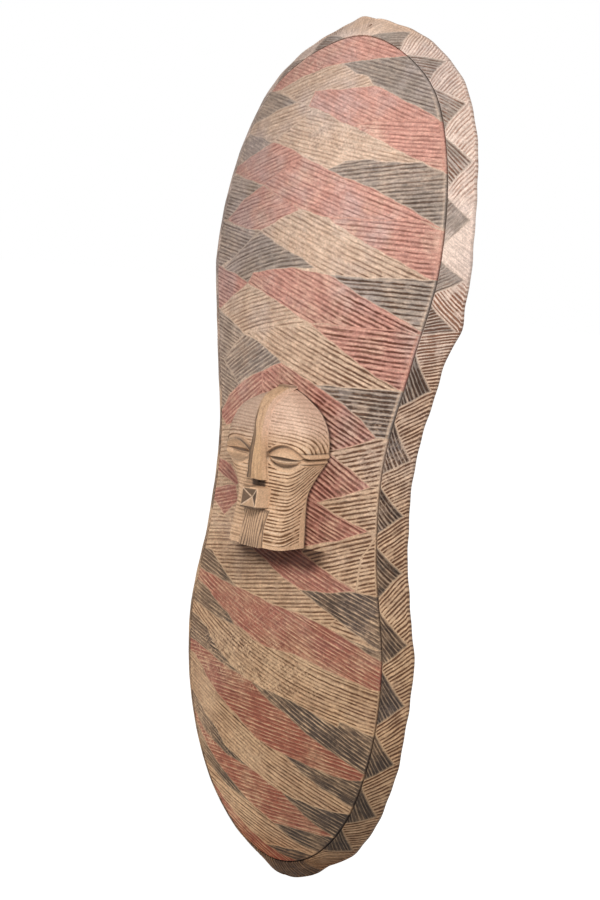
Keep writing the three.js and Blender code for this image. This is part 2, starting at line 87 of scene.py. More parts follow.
# Cuts and adze marks
PITCH, BORDER_PITCH, MASK_PITCH = 3.7, 2.5, 3.2
CUT_DEPTH, CUT_LIP, MASK_CUT_DEPTH = 0.75, 0.9, 1.0
WANDER, MASK_WANDER, WANDER_SIZE = 2.6, 0.9, 55.0
ADZE_DEPTH, ADZE_SIZE = 0.9, 16.0

# Mask. Heights on it are over its foot.
MASK_HEIGHT, MASK_WIDTH, MASK_DEPTH = 140.5, 92.0, 36.5
MASK_FOOT, MASK_OFFSET = -72.5, -1.0
MASK_SQUARENESS = 8.0  # power of the superellipse that rounds its sections
SEAT_GAP = 0.3
NOSE_FOOT = 60.0
EYE_HEIGHT, EYE_SPACING, EYE_LENGTH, EYE_OPENING = 82.0, 51.5, 35.5, 17.0
LID_RISE, LID_ROUND, SOCKET_DEPTH, SOCKET_MARGIN = 3.4, 6.2, 2.8, 3.0
SLIT_WIDTH, SLIT_DEPTH, SLIT_SHARE = 2.2, 2.2, 0.84
MOUTH_HEIGHT, MOUTH_WIDTH, MOUTH_REACH = 44.0, 18.0, 15.8
MOUTH_FRAME, MOUTH_SINK, MOUTH_ASIDE = 1.0, 5.0, 2.2
BEARD_WIDTH, BEARD_HEIGHT, BEARD_RISE = 23.0, 33.0, 2.5
MASK_TOP = MASK_FOOT + MASK_HEIGHT
EYE_LEVEL, MOUTH_LEVEL = MASK_FOOT + EYE_HEIGHT, MASK_FOOT + MOUTH_HEIGHT
BEARD_TOP = MASK_FOOT + BEARD_HEIGHT

# Mask tables: share of its height, then share of half its width; of its depth, and of that depth
# that is crown; for the beard shares of top width, base width and rise; for the crest those in mm
MASK_OUTLINE = [
    (0, 0.67), (0.12, 0.655), (0.24, 0.635), (0.34, 0.645), (0.46, 0.8), (0.57, 0.97), (0.65, 1),
    (0.745, 0.955), (0.81, 0.87), (0.87, 0.735), (0.925, 0.51), (0.968, 0.27), (1, 0),
]
MASK_PROFILE = [
    (0, 1.01, 0.05), (0.1, 0.98, 0.06), (0.2, 0.91, 0.08), (0.3, 0.87, 0.1), (0.4, 0.9, 0.12),
    (0.52, 0.97, 0.15), (0.66, 1, 0.17), (0.78, 0.98, 0.16), (0.86, 0.91, 0.13), (0.92, 0.76, 0.15),
    (0.965, 0.5, 0.2), (1, 0.15, 0.3),
]
CREST = [
    (0.427, 17.5, 20.5, 7.6), (0.48, 15.5, 18.5, 7.3), (0.55, 14, 16.8, 7), (0.62, 12.6, 15.6, 6.8),
    (0.74, 9, 13.4, 6.5), (0.85, 9.4, 14, 6.5), (0.92, 11, 15, 7), (0.97, 12.5, 16, 8.5),
    (1.012, 11, 14, 8.5),
]
BEARD = [(0, 1, 1.1, 1.3), (0.5, 0.9, 1, 1), (0.75, 0.95, 1.05, 1), (1, 1.05, 1.2, 0.6)]

# Colours of the board, low down and high up where two are given; high up they are paler with painted
# light
WHITE = (1.0, 1.0, 1.0)
WOODS = (0.41, 0.245, 0.135), (0.60, 0.41, 0.295)
PALER_WOODS = (0.60, 0.40, 0.235), (0.76, 0.57, 0.44)
RED_COATS = (0.278, 0.083, 0.050), (0.63, 0.315, 0.25)
DARK_COATS = (0.078, 0.052, 0.038), (0.33, 0.265, 0.22)
LIT_BORDER_PAINT, LOW_BORDER_DARK_AND_SHADE = (0.88, 0.70, 0.60), (0.05, 0.035, 0.026)
BLOOM, RUBBED_RED = (0.50, 0.42, 0.41), (0.52, 0.20, 0.15)
# Tints for the cuts' dirt and painted shade
SOILS_AND_SHADES = (0.23, 0.155, 0.12), (0.38, 0.22, 0.155)  # over the board, and over the pale border
SHADE, FOOT_SHADE = (0.16, 0.11, 0.09), (0.76, 0.62, 0.50)

# Colours of the mask
MASK_WOODS = (0.68, 0.44, 0.27), (0.57, 0.36, 0.22)
BROW_WOOD, LEFT_BROW_SHADE = (0.70, 0.48, 0.37), (0.40, 0.27, 0.195)
CREST_WOODS = (0.36, 0.20, 0.095), (0.58, 0.365, 0.20)
MASK_GROOVE, MASK_RIDGE = (0.15, 0.07, 0.03), (0.80, 0.60, 0.43)
MASK_STAIN_AND_SHADE, MASK_PALE = (0.058, 0.034, 0.023), (0.50, 0.38, 0.28)

# Camera, fitted to the photograph: angles in degrees, distance in metres
CAMERA_SWING, CAMERA_LIFT, CAMERA_ROLL = 36.3, 7.62, 6.22
CAMERA_DISTANCE, CAMERA_LENS, CAMERA_SHIFT = 1.5944, 68.79, (-0.036, 0.0102)

# Lamps: place, aim and size in metres, and power
LAMPS = {
    "key_lamp": ((1.4, -1.7, 1.35), (0, 0, 0), 0.8, 44),
    "fill_lamp": ((-1.5, -1.9, -0.3), (0, 0, -0.1), 1.4, 20),
}
FLOOR_REACH, FLOOR_DROP = 12.0, 0.06  # in metres
FLOOR_GLOW, SKY_LIGHT = 0.72, 0.42


def smooth(value, low, high):
    """0 below low, 1 above high, with a smooth rise between."""
    share = np.clip((value - low) / (high - low), 0, 1)
    return share * share * (3 - 2 * share)


# Camera and light


def add_camera():
    """The photograph's view: from the right and slightly above, with the shield leaning a little."""
    swing, lift, roll = (math.radians(a) for a in (CAMERA_SWING, CAMERA_LIFT, CAMERA_ROLL))
    back = Vector((
        math.sin(swing) * math.cos(lift), -math.cos(swing) * math.cos(lift), math.sin(lift)))
    right = Vector((math.cos(swing), math.sin(swing), 0))
    up = back.cross(right)
    leaned_right = right * math.cos(roll) + up * math.sin(roll)
    leaned_up = up * math.cos(roll) - right * math.sin(roll)
    data = bpy.data.cameras.new("photo_camera")
    data.lens = CAMERA_LENS
    data.shift_x, data.shift_y = CAMERA_SHIFT
    data.clip_start, data.clip_end = 0.05, 50
    camera = bpy.data.objects.new("photo_camera", data)
    camera.location = Vector((0, GRIP_DEPTH * MM, 0)) + back * CAMERA_DISTANCE
    camera.rotation_mode = "QUATERNION"
    camera.rotation_quaternion = Matrix((leaned_right, leaned_up, back)).transposed().to_quaternion()
    bpy.context.collection.objects.link(camera)
    bpy.context.scene.camera = camera


def add_lamp(name, place, aim, size, power):
    data = bpy.data.lights.new(name, "AREA")
    data.shape, data.size, data.energy = "DISK", size, power
    lamp = bpy.data.objects.new(name, data)
    lamp.location = place
    lamp.rotation_mode = "QUATERNION"
    lamp.rotation_quaternion = (Vector(aim) - Vector(place)).to_track_quat("-Z", "Y")
    bpy.context.collection.objects.link(lamp)


# Node trees


class Tree:
    """Adds nodes to a node tree and joins them up. An input is a socket, a plain value or None."""

    def __init__(self, tree):
        self.tree = tree

    def feed(self, socket, value):
        if isinstance(value, bpy.types.NodeSocket):
            self.tree.links.new(value, socket)
        elif value is not None:
            socket.default_value = value

    def node(self, kind, *values, named=None, **settings):
        node = self.tree.nodes.new(kind)
        for key, value in settings.items():
            setattr(node, key, value)
        for socket, value in zip(node.inputs, values):
            self.feed(socket, value)
        for key, value in (named or {}).items():
            self.feed(node.inputs[key], value)
        return node

    def math(self, operation, *values):
        return self.node("ShaderNodeMath", *values, operation=operation).outputs[0]

    def times(self, first, *others):
        """Product of two values or more."""
        for value in others:
            first = self.math("MULTIPLY", first, value)
        return first

    def plus(self, first, *others):
        """Sum of two values or more."""
        for value in others:
            first = self.math("ADD", first, value)
        return first

    def smooth(self, value, low, high, start=0.0, end=1.0):
        node = self.node(
            "ShaderNodeMapRange", value, low, high, start, end, interpolation_type="SMOOTHSTEP")
        return node.outputs[0]

    def noise(self, place, scale, detail=2.0, roughness=0.5):
        node = self.node("ShaderNodeTexNoise", named={
            "Vector": place, "Scale": scale, "Detail": detail, "Roughness": roughness})
        return node.outputs[0]

    def sway(self, place, scale, detail, most):
        """Noise on both sides of zero."""
        return self.times(self.math("SUBTRACT", self.noise(place, scale, detail), 0.5), most)

    def join(self, x, y, z):
        return self.node("ShaderNodeCombineXYZ", x, y, z).outputs[0]

    def split(self, place):
        return self.node("ShaderNodeSeparateXYZ", place).outputs

    def attribute(self, name):
        """A value that each point of the mesh holds, for a material."""
        return self.node("ShaderNodeAttribute", attribute_name=name).outputs["Fac"]

    def mix_value(self, share, first, second):
        return self.node("ShaderNodeMix", share, None, first, second).outputs[0]

    def mix(self, share, first, second, blend="MIX"):
        node = self.node("ShaderNodeMix", data_type="RGBA", blend_type=blend)
        for number, value in ((0, share), (6, first), (7, second)):
            if not isinstance(value, bpy.types.NodeSocket) and number:
                value = (*value, 1.0)
            self.feed(node.inputs[number], value)
        return node.outputs[2]

    def tint(self, colour, by, share=1.0):
        """A colour multiplied by another one, in a share."""
        return self.mix(share, colour, by, "MULTIPLY")


def new_geometry_tree(name, inputs):
    """A Geometry Nodes tree with named inputs, given as (name, socket type, default)."""
    tree = bpy.data.node_groups.new(name, "GeometryNodeTree")
    tree.interface.new_socket("Geometry", in_out="INPUT", socket_type="NodeSocketGeometry")
    for label, kind, default in inputs:
        socket = tree.interface.new_socket(label, in_out="INPUT", socket_type=kind)
        if default is not None:
            socket.default_value = default
    tree.interface.new_socket("Geometry", in_out="OUTPUT", socket_type="NodeSocketGeometry")
    return tree, Tree(tree), tree.nodes.new("NodeGroupInput"), tree.nodes.new("NodeGroupOutput")


def run_geometry_tree(piece, tree, **values):
    """Runs a tree on a piece with named inputs and keeps the result as a plain mesh."""
    modifier = piece.modifiers.new(tree.name, "NODES")
    modifier.node_group = tree
    sockets = {item.name: item.identifier for item in tree.interface.items_tree
               if item.item_type == "SOCKET" and item.in_out == "INPUT"}
    for label, value in values.items():
        modifier[sockets[label.replace("_", " ")]] = value
    bpy.context.view_layer.update()
    graph = bpy.context.evaluated_depsgraph_get()
    mesh = bpy.data.meshes.new_from_object(
        piece.evaluated_get(graph), preserve_all_data_layers=True, depsgraph=graph)
    piece.modifiers.clear()
    piece.data = mesh


def cut_profile(t, line, wide, place):
    """How deep in a cut (1 in its middle) and how high on a ridge places are. Lines are counted
    across the cuts, and wide is how broad they are."""
    wave = t.plus(t.times(t.math("PINGPONG", line, 0.5), 2.0), t.sway(place, 90.0, 2.0, 0.85))
    cut = t.smooth(wave, t.times(wide, 0.3), t.plus(0.5, t.times(wide, 0.36)), 1.0, 0.0)
    return cut, t.smooth(wave, 0.66, 0.94)


def gouge_tree():
    """Sinks parallel cuts into a surface. Each point holds how far across the cuts it lies (across),
    how far it is from the edge of its field (room), how deep and how broad cuts are there (bite and
    wide), and the way out of the wood (outward). Behind, it leaves adze marks instead (adze)."""
    tree, t, given, done = new_geometry_tree("gouge cuts", [
        ("Pitch", "NodeSocketFloat", PITCH * MM),
        ("Depth", "NodeSocketFloat", CUT_DEPTH * MM),
        ("Lip", "NodeSocketFloat", CUT_LIP * MM),
        ("Wander", "NodeSocketFloat", WANDER * MM),
        ("Wander size", "NodeSocketFloat", WANDER_SIZE * MM),
        ("Adze depth", "NodeSocketFloat", ADZE_DEPTH * MM),
        ("Adze size", "NodeSocketFloat", ADZE_SIZE * MM),
        ("Wood", "NodeSocketMaterial", None),
        ("Bare wood", "NodeSocketMaterial", None),
    ])
    given_at = given.outputs

    def held(name, kind="FLOAT"):
        return t.node("GeometryNodeInputNamedAttribute", name, data_type=kind).outputs[0]

    place = t.node("GeometryNodeInputPosition").outputs[0]
    across, room, bite, wide, adze = (
        held(name) for name in ("across", "room", "bite", "wide", "adze"))
    frequency = t.math("DIVIDE", 1.0, given_at["Wander size"])
    wander = t.sway(place, frequency, 2.0, given_at["Wander"])
    line = t.math("DIVIDE", t.plus(across, wander, t.sway(place, 130.0, 1.0, MM)), given_at["Pitch"])
    line = t.plus(line, t.times(t.noise(t.join(line, 0.5, 0.5), 0.9, 0.0), 0.75))
    cut, _ = cut_profile(t, line, wide, place)
    stroke = t.join(t.math("FLOOR", t.plus(line, 0.5)), t.times(bite, 3.7), 0.0)
    uneven = t.plus(0.5, t.noise(stroke, 0.83, 0.0))
    skip = t.smooth(t.noise(place, 110.0, 3.0), 0.32, 0.5, 0.4, 1.0)
    clear = t.smooth(room, t.times(given_at["Lip"], 0.4), given_at["Lip"])
    force = t.times(clear, bite, t.times(uneven, skip))

    stretch = t.node("ShaderNodeVectorMath", place, (1.0, 1.0, 0.42), operation="MULTIPLY").outputs[0]
    facet = t.node("ShaderNodeTexVoronoi", feature="SMOOTH_F1", named={
        "Vector": stretch, "Scale": t.math("DIVIDE", 1.0, given_at["Adze size"]),
        "Smoothness": 0.25}).outputs[0]
    sink = t.math("SUBTRACT", t.times(cut, force, given_at["Depth"]),
                  t.times(facet, adze, given_at["Adze depth"]))
    step = t.node("ShaderNodeVectorMath", held("outward", "FLOAT_VECTOR"), operation="SCALE",
                  named={"Scale": t.times(sink, -1.0)}).outputs[0]
    shape = t.node("GeometryNodeSetPosition", given_at["Geometry"], named={"Offset": step})
    for name, value in (("line", line), ("force", force)):
        shape = t.node("GeometryNodeStoreNamedAttribute", shape.outputs[0], named={
            "Name": name, "Value": value}, data_type="FLOAT", domain="POINT")
    shape = t.node("GeometryNodeRealizeInstances", shape.outputs[0])
    shape = t.node("GeometryNodeSetMaterial", shape.outputs[0], named={"Material": given_at["Wood"]})
    shape = t.node("GeometryNodeSetMaterial", shape.outputs[0], named={
        "Selection": t.math("GREATER_THAN", adze, 0.01), "Material": given_at["Bare wood"]})
    t.feed(done.inputs[0], shape.outputs[0])
    return tree


# Materials


def new_material(name):
    material = bpy.data.materials.new(name)
    material.use_nodes = True
    material.node_tree.nodes.clear()
    t = Tree(material.node_tree)
    shader = t.node("ShaderNodeBsdfPrincipled")
    t.feed(t.node("ShaderNodeOutputMaterial").inputs["Surface"], shader.outputs[0])
    return material, t, shader, t.node("ShaderNodeTexCoord").outputs["Object"]


def dress(t, shader, colour, roughness, specular, fine, fibres, strength, depth):
    """Gives a shader its colour, a finely varied roughness and the relief of its fibres."""
    t.feed(shader.inputs["Base Color"], colour)
    t.feed(shader.inputs["Roughness"], t.smooth(fine, 0.2, 0.8, *roughness))
    shader.inputs["Specular IOR Level"].default_value = specular
    bump = t.node("ShaderNodeBump", named={
        "Strength": strength, "Distance": depth, "Height": t.plus(fibres, fine)})
    t.feed(shader.inputs["Normal"], bump.outputs[0])


def grain(t, place, scale):
    """Streaks that run up the board, as its fibres do."""
    along = t.node("ShaderNodeMapping", place, named={"Scale": (1.0, 1.0, 0.06)}).outputs[0]
    return t.noise(along, scale, 4.0, 0.65)


def board_tone(t, x, z, high, coated, grains):
    """How light the front of the board is. It is darker along the upper left edge, and low down it has
    painted light on the left and painted shade on the right of the foot."""
    left_edge = t.times(
        t.smooth(x, -0.12, 0.01, 0.66, 1.03), t.smooth(x, 0.05, 0.11, 1.0, 0.92),
        t.smooth(z, 0.27, 0.34, 1.0, 0.93))
    # Painted light low on the left, and painted shade on the right of the foot
    low_left_painted_light = t.smooth(x, -0.04, -0.10, 1.0, 1.1)
    foot = t.times(t.smooth(x, -0.06, 0.06, 1.15, 0.85), t.mix_value(coated, 1.0, 0.75))
    tone = t.times(
        t.mix_value(t.smooth(z, -0.1, 0.05), low_left_painted_light, 1.0), t.mix_value(high, 1.0, left_edge),
        t.mix_value(t.smooth(z, -0.22, -0.33), 1.0, foot))
    for value, low, most in grains:
        tone = t.times(tone, t.smooth(value, 0.28, 0.75, low, most))
    return tone


def carved_material():
    """Front of the board: wood with red and grey-brown pigment rubbed in, paler towards the top in
    painted light.
    """
    material, t, shader, place = new_material("carved_and_pigmented_wood")
    red, dark, lip, dirt_and_shade, shade, force, border, scuffed, line = (t.attribute(name) for name in (
        "red", "dark", "lip", "dirt_and_shade", "shade", "force", "border", "scuffed", "line"))
    cut, ridge = cut_profile(t, line, t.attribute("wide"), place)
    cut, ridge = t.times(cut, force), t.times(ridge, t.smooth(force, 0.0, 0.4))
    x, _, z = t.split(place)
    # painted_haze: painted light that makes the colours paler and softer towards the top
    painted_haze = t.smooth(t.plus(z, t.times(t.noise(place, 9.0), 0.1)), -0.22, 0.36)
    high = t.smooth(z, 0.05, 0.22)
    blotch, bloom = t.noise(place, 26.0, 5.0, 0.6), t.noise(place, 15.0, 4.0, 0.65)
    fine, speck = t.noise(place, 420.0, 3.0, 0.6), t.noise(place, 950.0, 2.0, 0.6)
    # Fibres torn along each cut
    streak = t.noise(t.join(line, t.times(x, 45.0), t.times(z, 45.0)), 2.3, 3.0, 0.6)

    paler = t.mix(painted_haze, *PALER_WOODS)
    wood = t.mix(t.smooth(blotch, 0.35, 0.75, 0.0, 0.7), t.mix(painted_haze, *WOODS), paler)
    # Painted light on the upper border, which faces the lamp
    lit_border_share = t.times(border, high, t.smooth(z, 0.392, 0.372))
    wood = t.mix(t.times(lit_border_share, 0.85), wood, LIT_BORDER_PAINT)
    # The lower border's dark teeth get darker still: dark pigment with painted shade
    low_border = t.times(border, t.math("SUBTRACT", 1.0, high))
    dark_coat = t.mix(t.times(low_border, 0.5), t.mix(t.smooth(z, -0.13, 0.12), *DARK_COATS),
                      LOW_BORDER_DARK_AND_SHADE)
    worn = t.smooth(t.plus(blotch, t.times(streak, 0.5)), 0.66, 1.0)
    hold = t.math("SUBTRACT", 1.0, t.times(worn, 0.5))
    colour = t.mix(t.times(red, hold), wood, t.mix(painted_haze, *RED_COATS))
    colour = t.mix(t.times(dark, hold), colour, dark_coat)
    colour = t.mix(t.times(t.smooth(bloom, 0.45, 0.68), t.mix_value(painted_haze, 0.05, 0.42)), colour, BLOOM)

    # Above, dirt and painted shade lie dark in the cuts; below, the ridges are rubbed bare and show as
    # pale lines
    pigment = t.math("MAXIMUM", red, dark)
    low_groove = t.mix_value(red, 1.7, 1.4)
    groove = t.times(cut, dirt_and_shade, t.mix_value(pigment, 1.3, t.mix_value(painted_haze, 0.65, low_groove)))
    soil_and_shade = t.mix(lit_border_share, *SOILS_AND_SHADES)
    colour = t.tint(colour, soil_and_shade, groove)
    rubbed = t.times(
        ridge, t.smooth(streak, 0.3, 0.6, 0.45, 1.0),
        t.mix_value(pigment, 0.4, t.mix_value(painted_haze, 0.65, 0.08)),
        t.mix_value(t.times(border, dark), 1.0, 0.5))
    colour = t.mix(rubbed, colour, paler)
    colour = t.mix(t.times(lip, red, painted_haze, 0.6), colour, RUBBED_RED)
    plain_lip = t.times(lip, t.math("SUBTRACT", 0.32, t.times(red, 0.16)))
    colour = t.mix(plain_lip, colour, paler)
    rough = t.times(scuffed, t.smooth(t.noise(place, 60.0, 2.0), 0.35, 0.6, 0.2, 1.0))
    for turn, scale in ((0.8, 700.0), (-0.55, 800.0)):
        scratch = t.node("ShaderNodeMapping", place, vector_type="TEXTURE", named={
            "Rotation": (0.0, turn, 0.0), "Scale": (1.0, 1.0, 14.0)}).outputs[0]
        scratch = t.noise(scratch, scale, 0.0)
        colour = t.mix(t.times(t.smooth(scratch, 0.58, 0.68), rough), colour, paler)
        colour = t.tint(colour, soil_and_shade, t.times(t.smooth(scratch, 0.42, 0.34), rough, 0.7))
    colour = t.tint(colour, SHADE, t.times(shade, 0.9))
    tone = board_tone(t, x, z, high, t.math("MAXIMUM", dark, border), (
        (streak, 0.8, 1.18), (fine, 0.84, 1.16), (speck, 0.86, 1.14)))
    colour = t.tint(colour, t.join(tone, tone, tone))
    colour = t.tint(colour, t.mix(t.smooth(z, -0.345, -0.38), WHITE, FOOT_SHADE))
    dress(t, shader, colour, (0.72, 0.92), 0.28, fine, streak, 0.35, 0.0006)
    return material


def bare_material(name, light, deep, roughness, sheen=0.3):
    """Unpainted wood between a light and a deep tone, with fibres up the shield."""
    material, t, shader, place = new_material(name)
    streak, blotch = grain(t, place, 200.0), t.noise(place, 30.0, 4.0, 0.6)
    fine = t.noise(place, 500.0, 3.0, 0.6)
    colour = t.mix(t.smooth(streak, 0.3, 0.7), deep, light)
    colour = t.mix(t.smooth(blotch, 0.35, 0.75, 0.0, 0.5), colour, deep)
    limits = roughness - 0.1, roughness + 0.1
    dress(t, shader, colour, limits, sheen, fine, streak, 0.4, 0.0005)
    return material


def mask_material():
    """Bare yellowish wood, darker in the cuts, with a smooth yellower crest."""
    material, t, shader, place = new_material("mask_wood")
    blotch, fine = t.noise(place, 34.0, 4.0, 0.6), t.noise(place, 480.0, 3.0, 0.6)
    x, _, z = t.split(place)
    force = t.attribute("force")
    cut, ridge = cut_profile(t, t.attribute("line"), t.attribute("wide"), place)
    colour = t.mix(t.smooth(blotch, 0.3, 0.7), *MASK_WOODS)
    colour = t.mix(t.smooth(z, 0.015, 0.04, 0.0, 0.75), colour, BROW_WOOD)
    # Painted shade over the left of the brow
    left_brow_shade = t.times(t.smooth(x, 0.0, -0.012, 0.0, 0.75), t.smooth(z, 0.012, 0.03))
    colour = t.mix(left_brow_shade, colour, LEFT_BROW_SHADE)
    bare = t.mix(t.smooth(grain(t, place, 420.0), 0.3, 0.7), *CREST_WOODS)
    # stain_and_shade darkens with stains and painted shade; pale mixes in the mouth's worn cross and
    # painted highlights on the lids
    for share, paint in (
            (t.times(t.attribute("crest"), 0.75), bare), (t.times(cut, force, 1.1), MASK_GROOVE),
            (t.times(ridge, force, 0.45), MASK_RIDGE), (t.attribute("stain_and_shade"), MASK_STAIN_AND_SHADE),
            (t.times(t.attribute("pale"), 0.7), MASK_PALE)):
        colour = t.mix(share, colour, paint)
    speck = t.smooth(t.noise(place, 950.0, 2.0, 0.6), 0.3, 0.7, 0.88, 1.12)
    tone = t.times(t.smooth(fine, 0.25, 0.8, 0.82, 1.16), speck)
    colour = t.tint(colour, t.join(tone, tone, tone))
    dress(t, shader, colour, (0.62, 0.85), 0.3, fine, grain(t, place, 260.0), 0.35, 0.0005)
    return material


# Board surfaces


def spline(points, steps):
    """Centripetal Catmull-Rom curve from the second of its points to the last but one."""
    curve, share = [], (np.arange(steps) / steps)[:, None]
    for a, b, c, d in zip(points, points[1:], points[2:], points[3:]):
        first, middle, last = (np.sum((q - p) ** 2) ** 0.25 for p, q in ((a, b), (b, c), (c, d)))
        leave = ((b - a) / first - (c - a) / (first + middle) + (c - b) / middle) * middle
        arrive = ((c - b) / middle - (d - b) / (middle + last) + (d - c) / last) * middle
        curve.append(b + leave * share + (3 * (c - b) - 2 * leave - arrive) * share ** 2
                     + (2 * (b - c) + leave + arrive) * share ** 3)
    return np.concatenate([*curve, points[-2:-1]])


def share_curve(table):
    """A smooth curve through a table's points, whose first row holds the shares to look up."""
    points = np.array(table, float)
    before, after = 2 * points[0] - points[1], 2 * points[-1] - points[-2]
    return spline(np.stack([before, *points, after]), 24).T


def right_outline():
    """Points of the outline's right half, from the upper tip down, with distances along it and the
    direction into the board at each."""
    right = [(share * width / 2, height * HALF_LENGTH) for height, width, share in OUTLINE]
    left = [(-x, z) for x, z in reversed(right)]
    points = [(0, HALF_LENGTH), *right, (0, -HALF_LENGTH), *left]
    loop = spline(np.array([points[-1], *points, *points[:2]]), 60)[:-1]
    along = np.roll(loop, -1, 0) - np.roll(loop, 1, 0)
    along /= np.linalg.norm(along, axis=1)[:, None]
    half = len(loop) // 2 + 1
    loop, along = loop[:half], along[:half]
    inward = np.stack([along[:, 1], -along[:, 0]], 1)
    inward[[0, -1]] = (0, -1), (0, 1)
    lengths = np.linalg.norm(np.diff(loop, axis=0), axis=1)
    return loop, inward, np.concatenate([[0], np.cumsum(lengths)])


EDGE, INWARD, ALONG = right_outline()
HALF_OUTLINE = ALONG[-1]


def on_edge(s):
    """Place on the right outline and the way in from it, at distances along it."""
    place = [np.interp(s, ALONG, EDGE[:, k]) for k in (0, 1)]
    way = [np.interp(s, ALONG, INWARD[:, k]) for k in (0, 1)]
    return *place, *way


def inset_x(inset, z):
    """Distance from the middle line to the line that runs a given way inside the outline."""
    inset, z = np.broadcast_arrays(np.asarray(inset, float), np.asarray(z, float))
    low, high = np.zeros(z.shape), np.full(z.shape, HALF_OUTLINE)
    for _ in range(30):
        middle = (low + high) / 2
        _, at, _, way = on_edge(middle)
        above = at + inset * way > z
        low, high = np.where(above, middle, low), np.where(above, high, middle)
    x, at, way, rise = on_edge((low + high) / 2)
    found = np.maximum(x + inset * way, 0)
    return np.where(np.abs(at + inset * rise - z) < 1, found, 0)


def edge_distance(x, z):
    """(distance along the outline, distance inside it) of places on the right half."""
    s = np.interp(-z, -EDGE[:, 1], ALONG)
    for _ in range(12):
        px, pz, way, rise = on_edge(s)
        s = np.clip(s + (x - px) * -rise + (z - pz) * way, 0, HALF_OUTLINE)
    px, pz, way, rise = on_edge(s)
    return s, (x - px) * way + (z - pz) * rise


def bow(z):
    return LENGTH_BOW * np.maximum(0, 1 - (z / (HALF_LENGTH - FOOT_FLAT)) ** 2)


def land_width(z):
    past = (np.abs(z) / HALF_LENGTH - TIP_LAND_SHARE) / (1 - TIP_LAND_SHARE)
    return RIM_LAND + (TIP_LAND - RIM_LAND) * smooth(past, 0, 1)


class Crown:
    """How far a place lies between a loop inside the outline (0) and the spine line (1)."""

    def __init__(self, inset):
        px, pz, way, rise = on_edge(ALONG)
        inset = inset(pz)
        x, z = px + inset * way, pz + inset * rise
        keep = x >= 0
        self.z, self.x = z[keep][::-1], x[keep][::-1]
        self.top, self.foot = self.z[-1], self.z[0]

    def half_width(self, z):
        past = np.maximum(z - self.top, 0) + np.maximum(self.foot - z, 0)
        return np.interp(z, self.z, self.x) - past

    def share(self, x, z):
        low, high = np.zeros(np.shape(x)), np.ones(np.shape(x))
        for _ in range(18):
            middle = (low + high) / 2
            ring = z / (1 - (1 - SPINE_SHARE) * middle)
            inside = self.half_width(ring) * (1 - middle) > np.abs(x)
            low, high = np.where(inside, middle, low), np.where(inside, high, middle)
        return (low + high) / 2


PANEL = Crown(lambda z: np.full(np.shape(z), PANEL_INSET))
HOLLOW = Crown(lambda z: land_width(z) + HOLLOW_RUN)
HOLLOW_START = (RIM_LAND + HOLLOW_RUN - BORDER_RUN) / (WAIST_WIDTH / 2 - BORDER_RUN)


def border_height(inset):
    """Height of the sloped border over the bowed rim, from the outline to past the incised line."""
    top = PANEL_HEIGHT - CREASE_LIP
    start, end = RIM_ROUND, BORDER_RUN - CREASE_WIDTH / 2
    share = np.clip((inset - start) / (end - start), 0, 1)
    slope = RIM_EDGE + (top - RIM_EDGE) * share + BORDER_BULGE * 4 * share * (1 - share)
    corner = RIM_EDGE - RIM_ROUND + np.sqrt(
        np.clip(RIM_ROUND ** 2 - (RIM_ROUND - np.clip(inset, 0, RIM_ROUND)) ** 2, 0, None))
    floor = top - CREASE_DEPTH
    fall = smooth(inset, BORDER_RUN - CREASE_FALL, BORDER_RUN - CREASE_FLOOR)
    climb = smooth(inset, BORDER_RUN + CREASE_FLOOR, PANEL_INSET - CREASE_CLIMB_END)
    height = np.where(inset < start, corner, slope)
    return height + (floor - height) * fall + (PANEL_HEIGHT - floor) * climb


def front_height(x, z):
    """Height of the uncut front over the wall plane."""
    x = np.abs(x)
    rise = PANEL.share(x, z)
    inner = PANEL_HEIGHT + PANEL_CROWN * rise * (2 - rise)
    _, inset = edge_distance(x, z)
    outer = border_height(np.maximum(inset, 0))
    inside = x < PANEL.half_width(z)
    return bow(z) + np.where(inside, inner, outer)


def back_height(x, z):
    """Height of the hollow's surface over the wall plane."""
    x = np.abs(x)
    rise = HOLLOW_START + (1 - HOLLOW_START) * HOLLOW.share(x, z)
    inner = HOLLOW_HEIGHT + PANEL_CROWN * rise * (2 - rise)
    edge = HOLLOW_HEIGHT + PANEL_CROWN * HOLLOW_START * (2 - HOLLOW_START)
    _, inset = edge_distance(x, z)
    share = np.clip((inset - land_width(z)) / HOLLOW_RUN, 0, 1)
    outer = edge * (1 - (1 - share) ** 1.9) * smooth(share, -0.4, 0.35)
    inside = x < HOLLOW.half_width(z)
    return bow(z) + np.where(inside, inner, outer)


def outward_of(height, x, z, side):
    """Unit directions out of a surface given by its height."""
    step = 0.2
    dx = (height(x + step, z) - height(x - step, z)) / (2 * step)
    dz = (height(x, z + step) - height(x, z - step)) / (2 * step)
    way = np.stack([-dx * side, -np.full(x.shape, side), -dz * side], -1)
    return way / np.linalg.norm(way, axis=-1)[..., None]


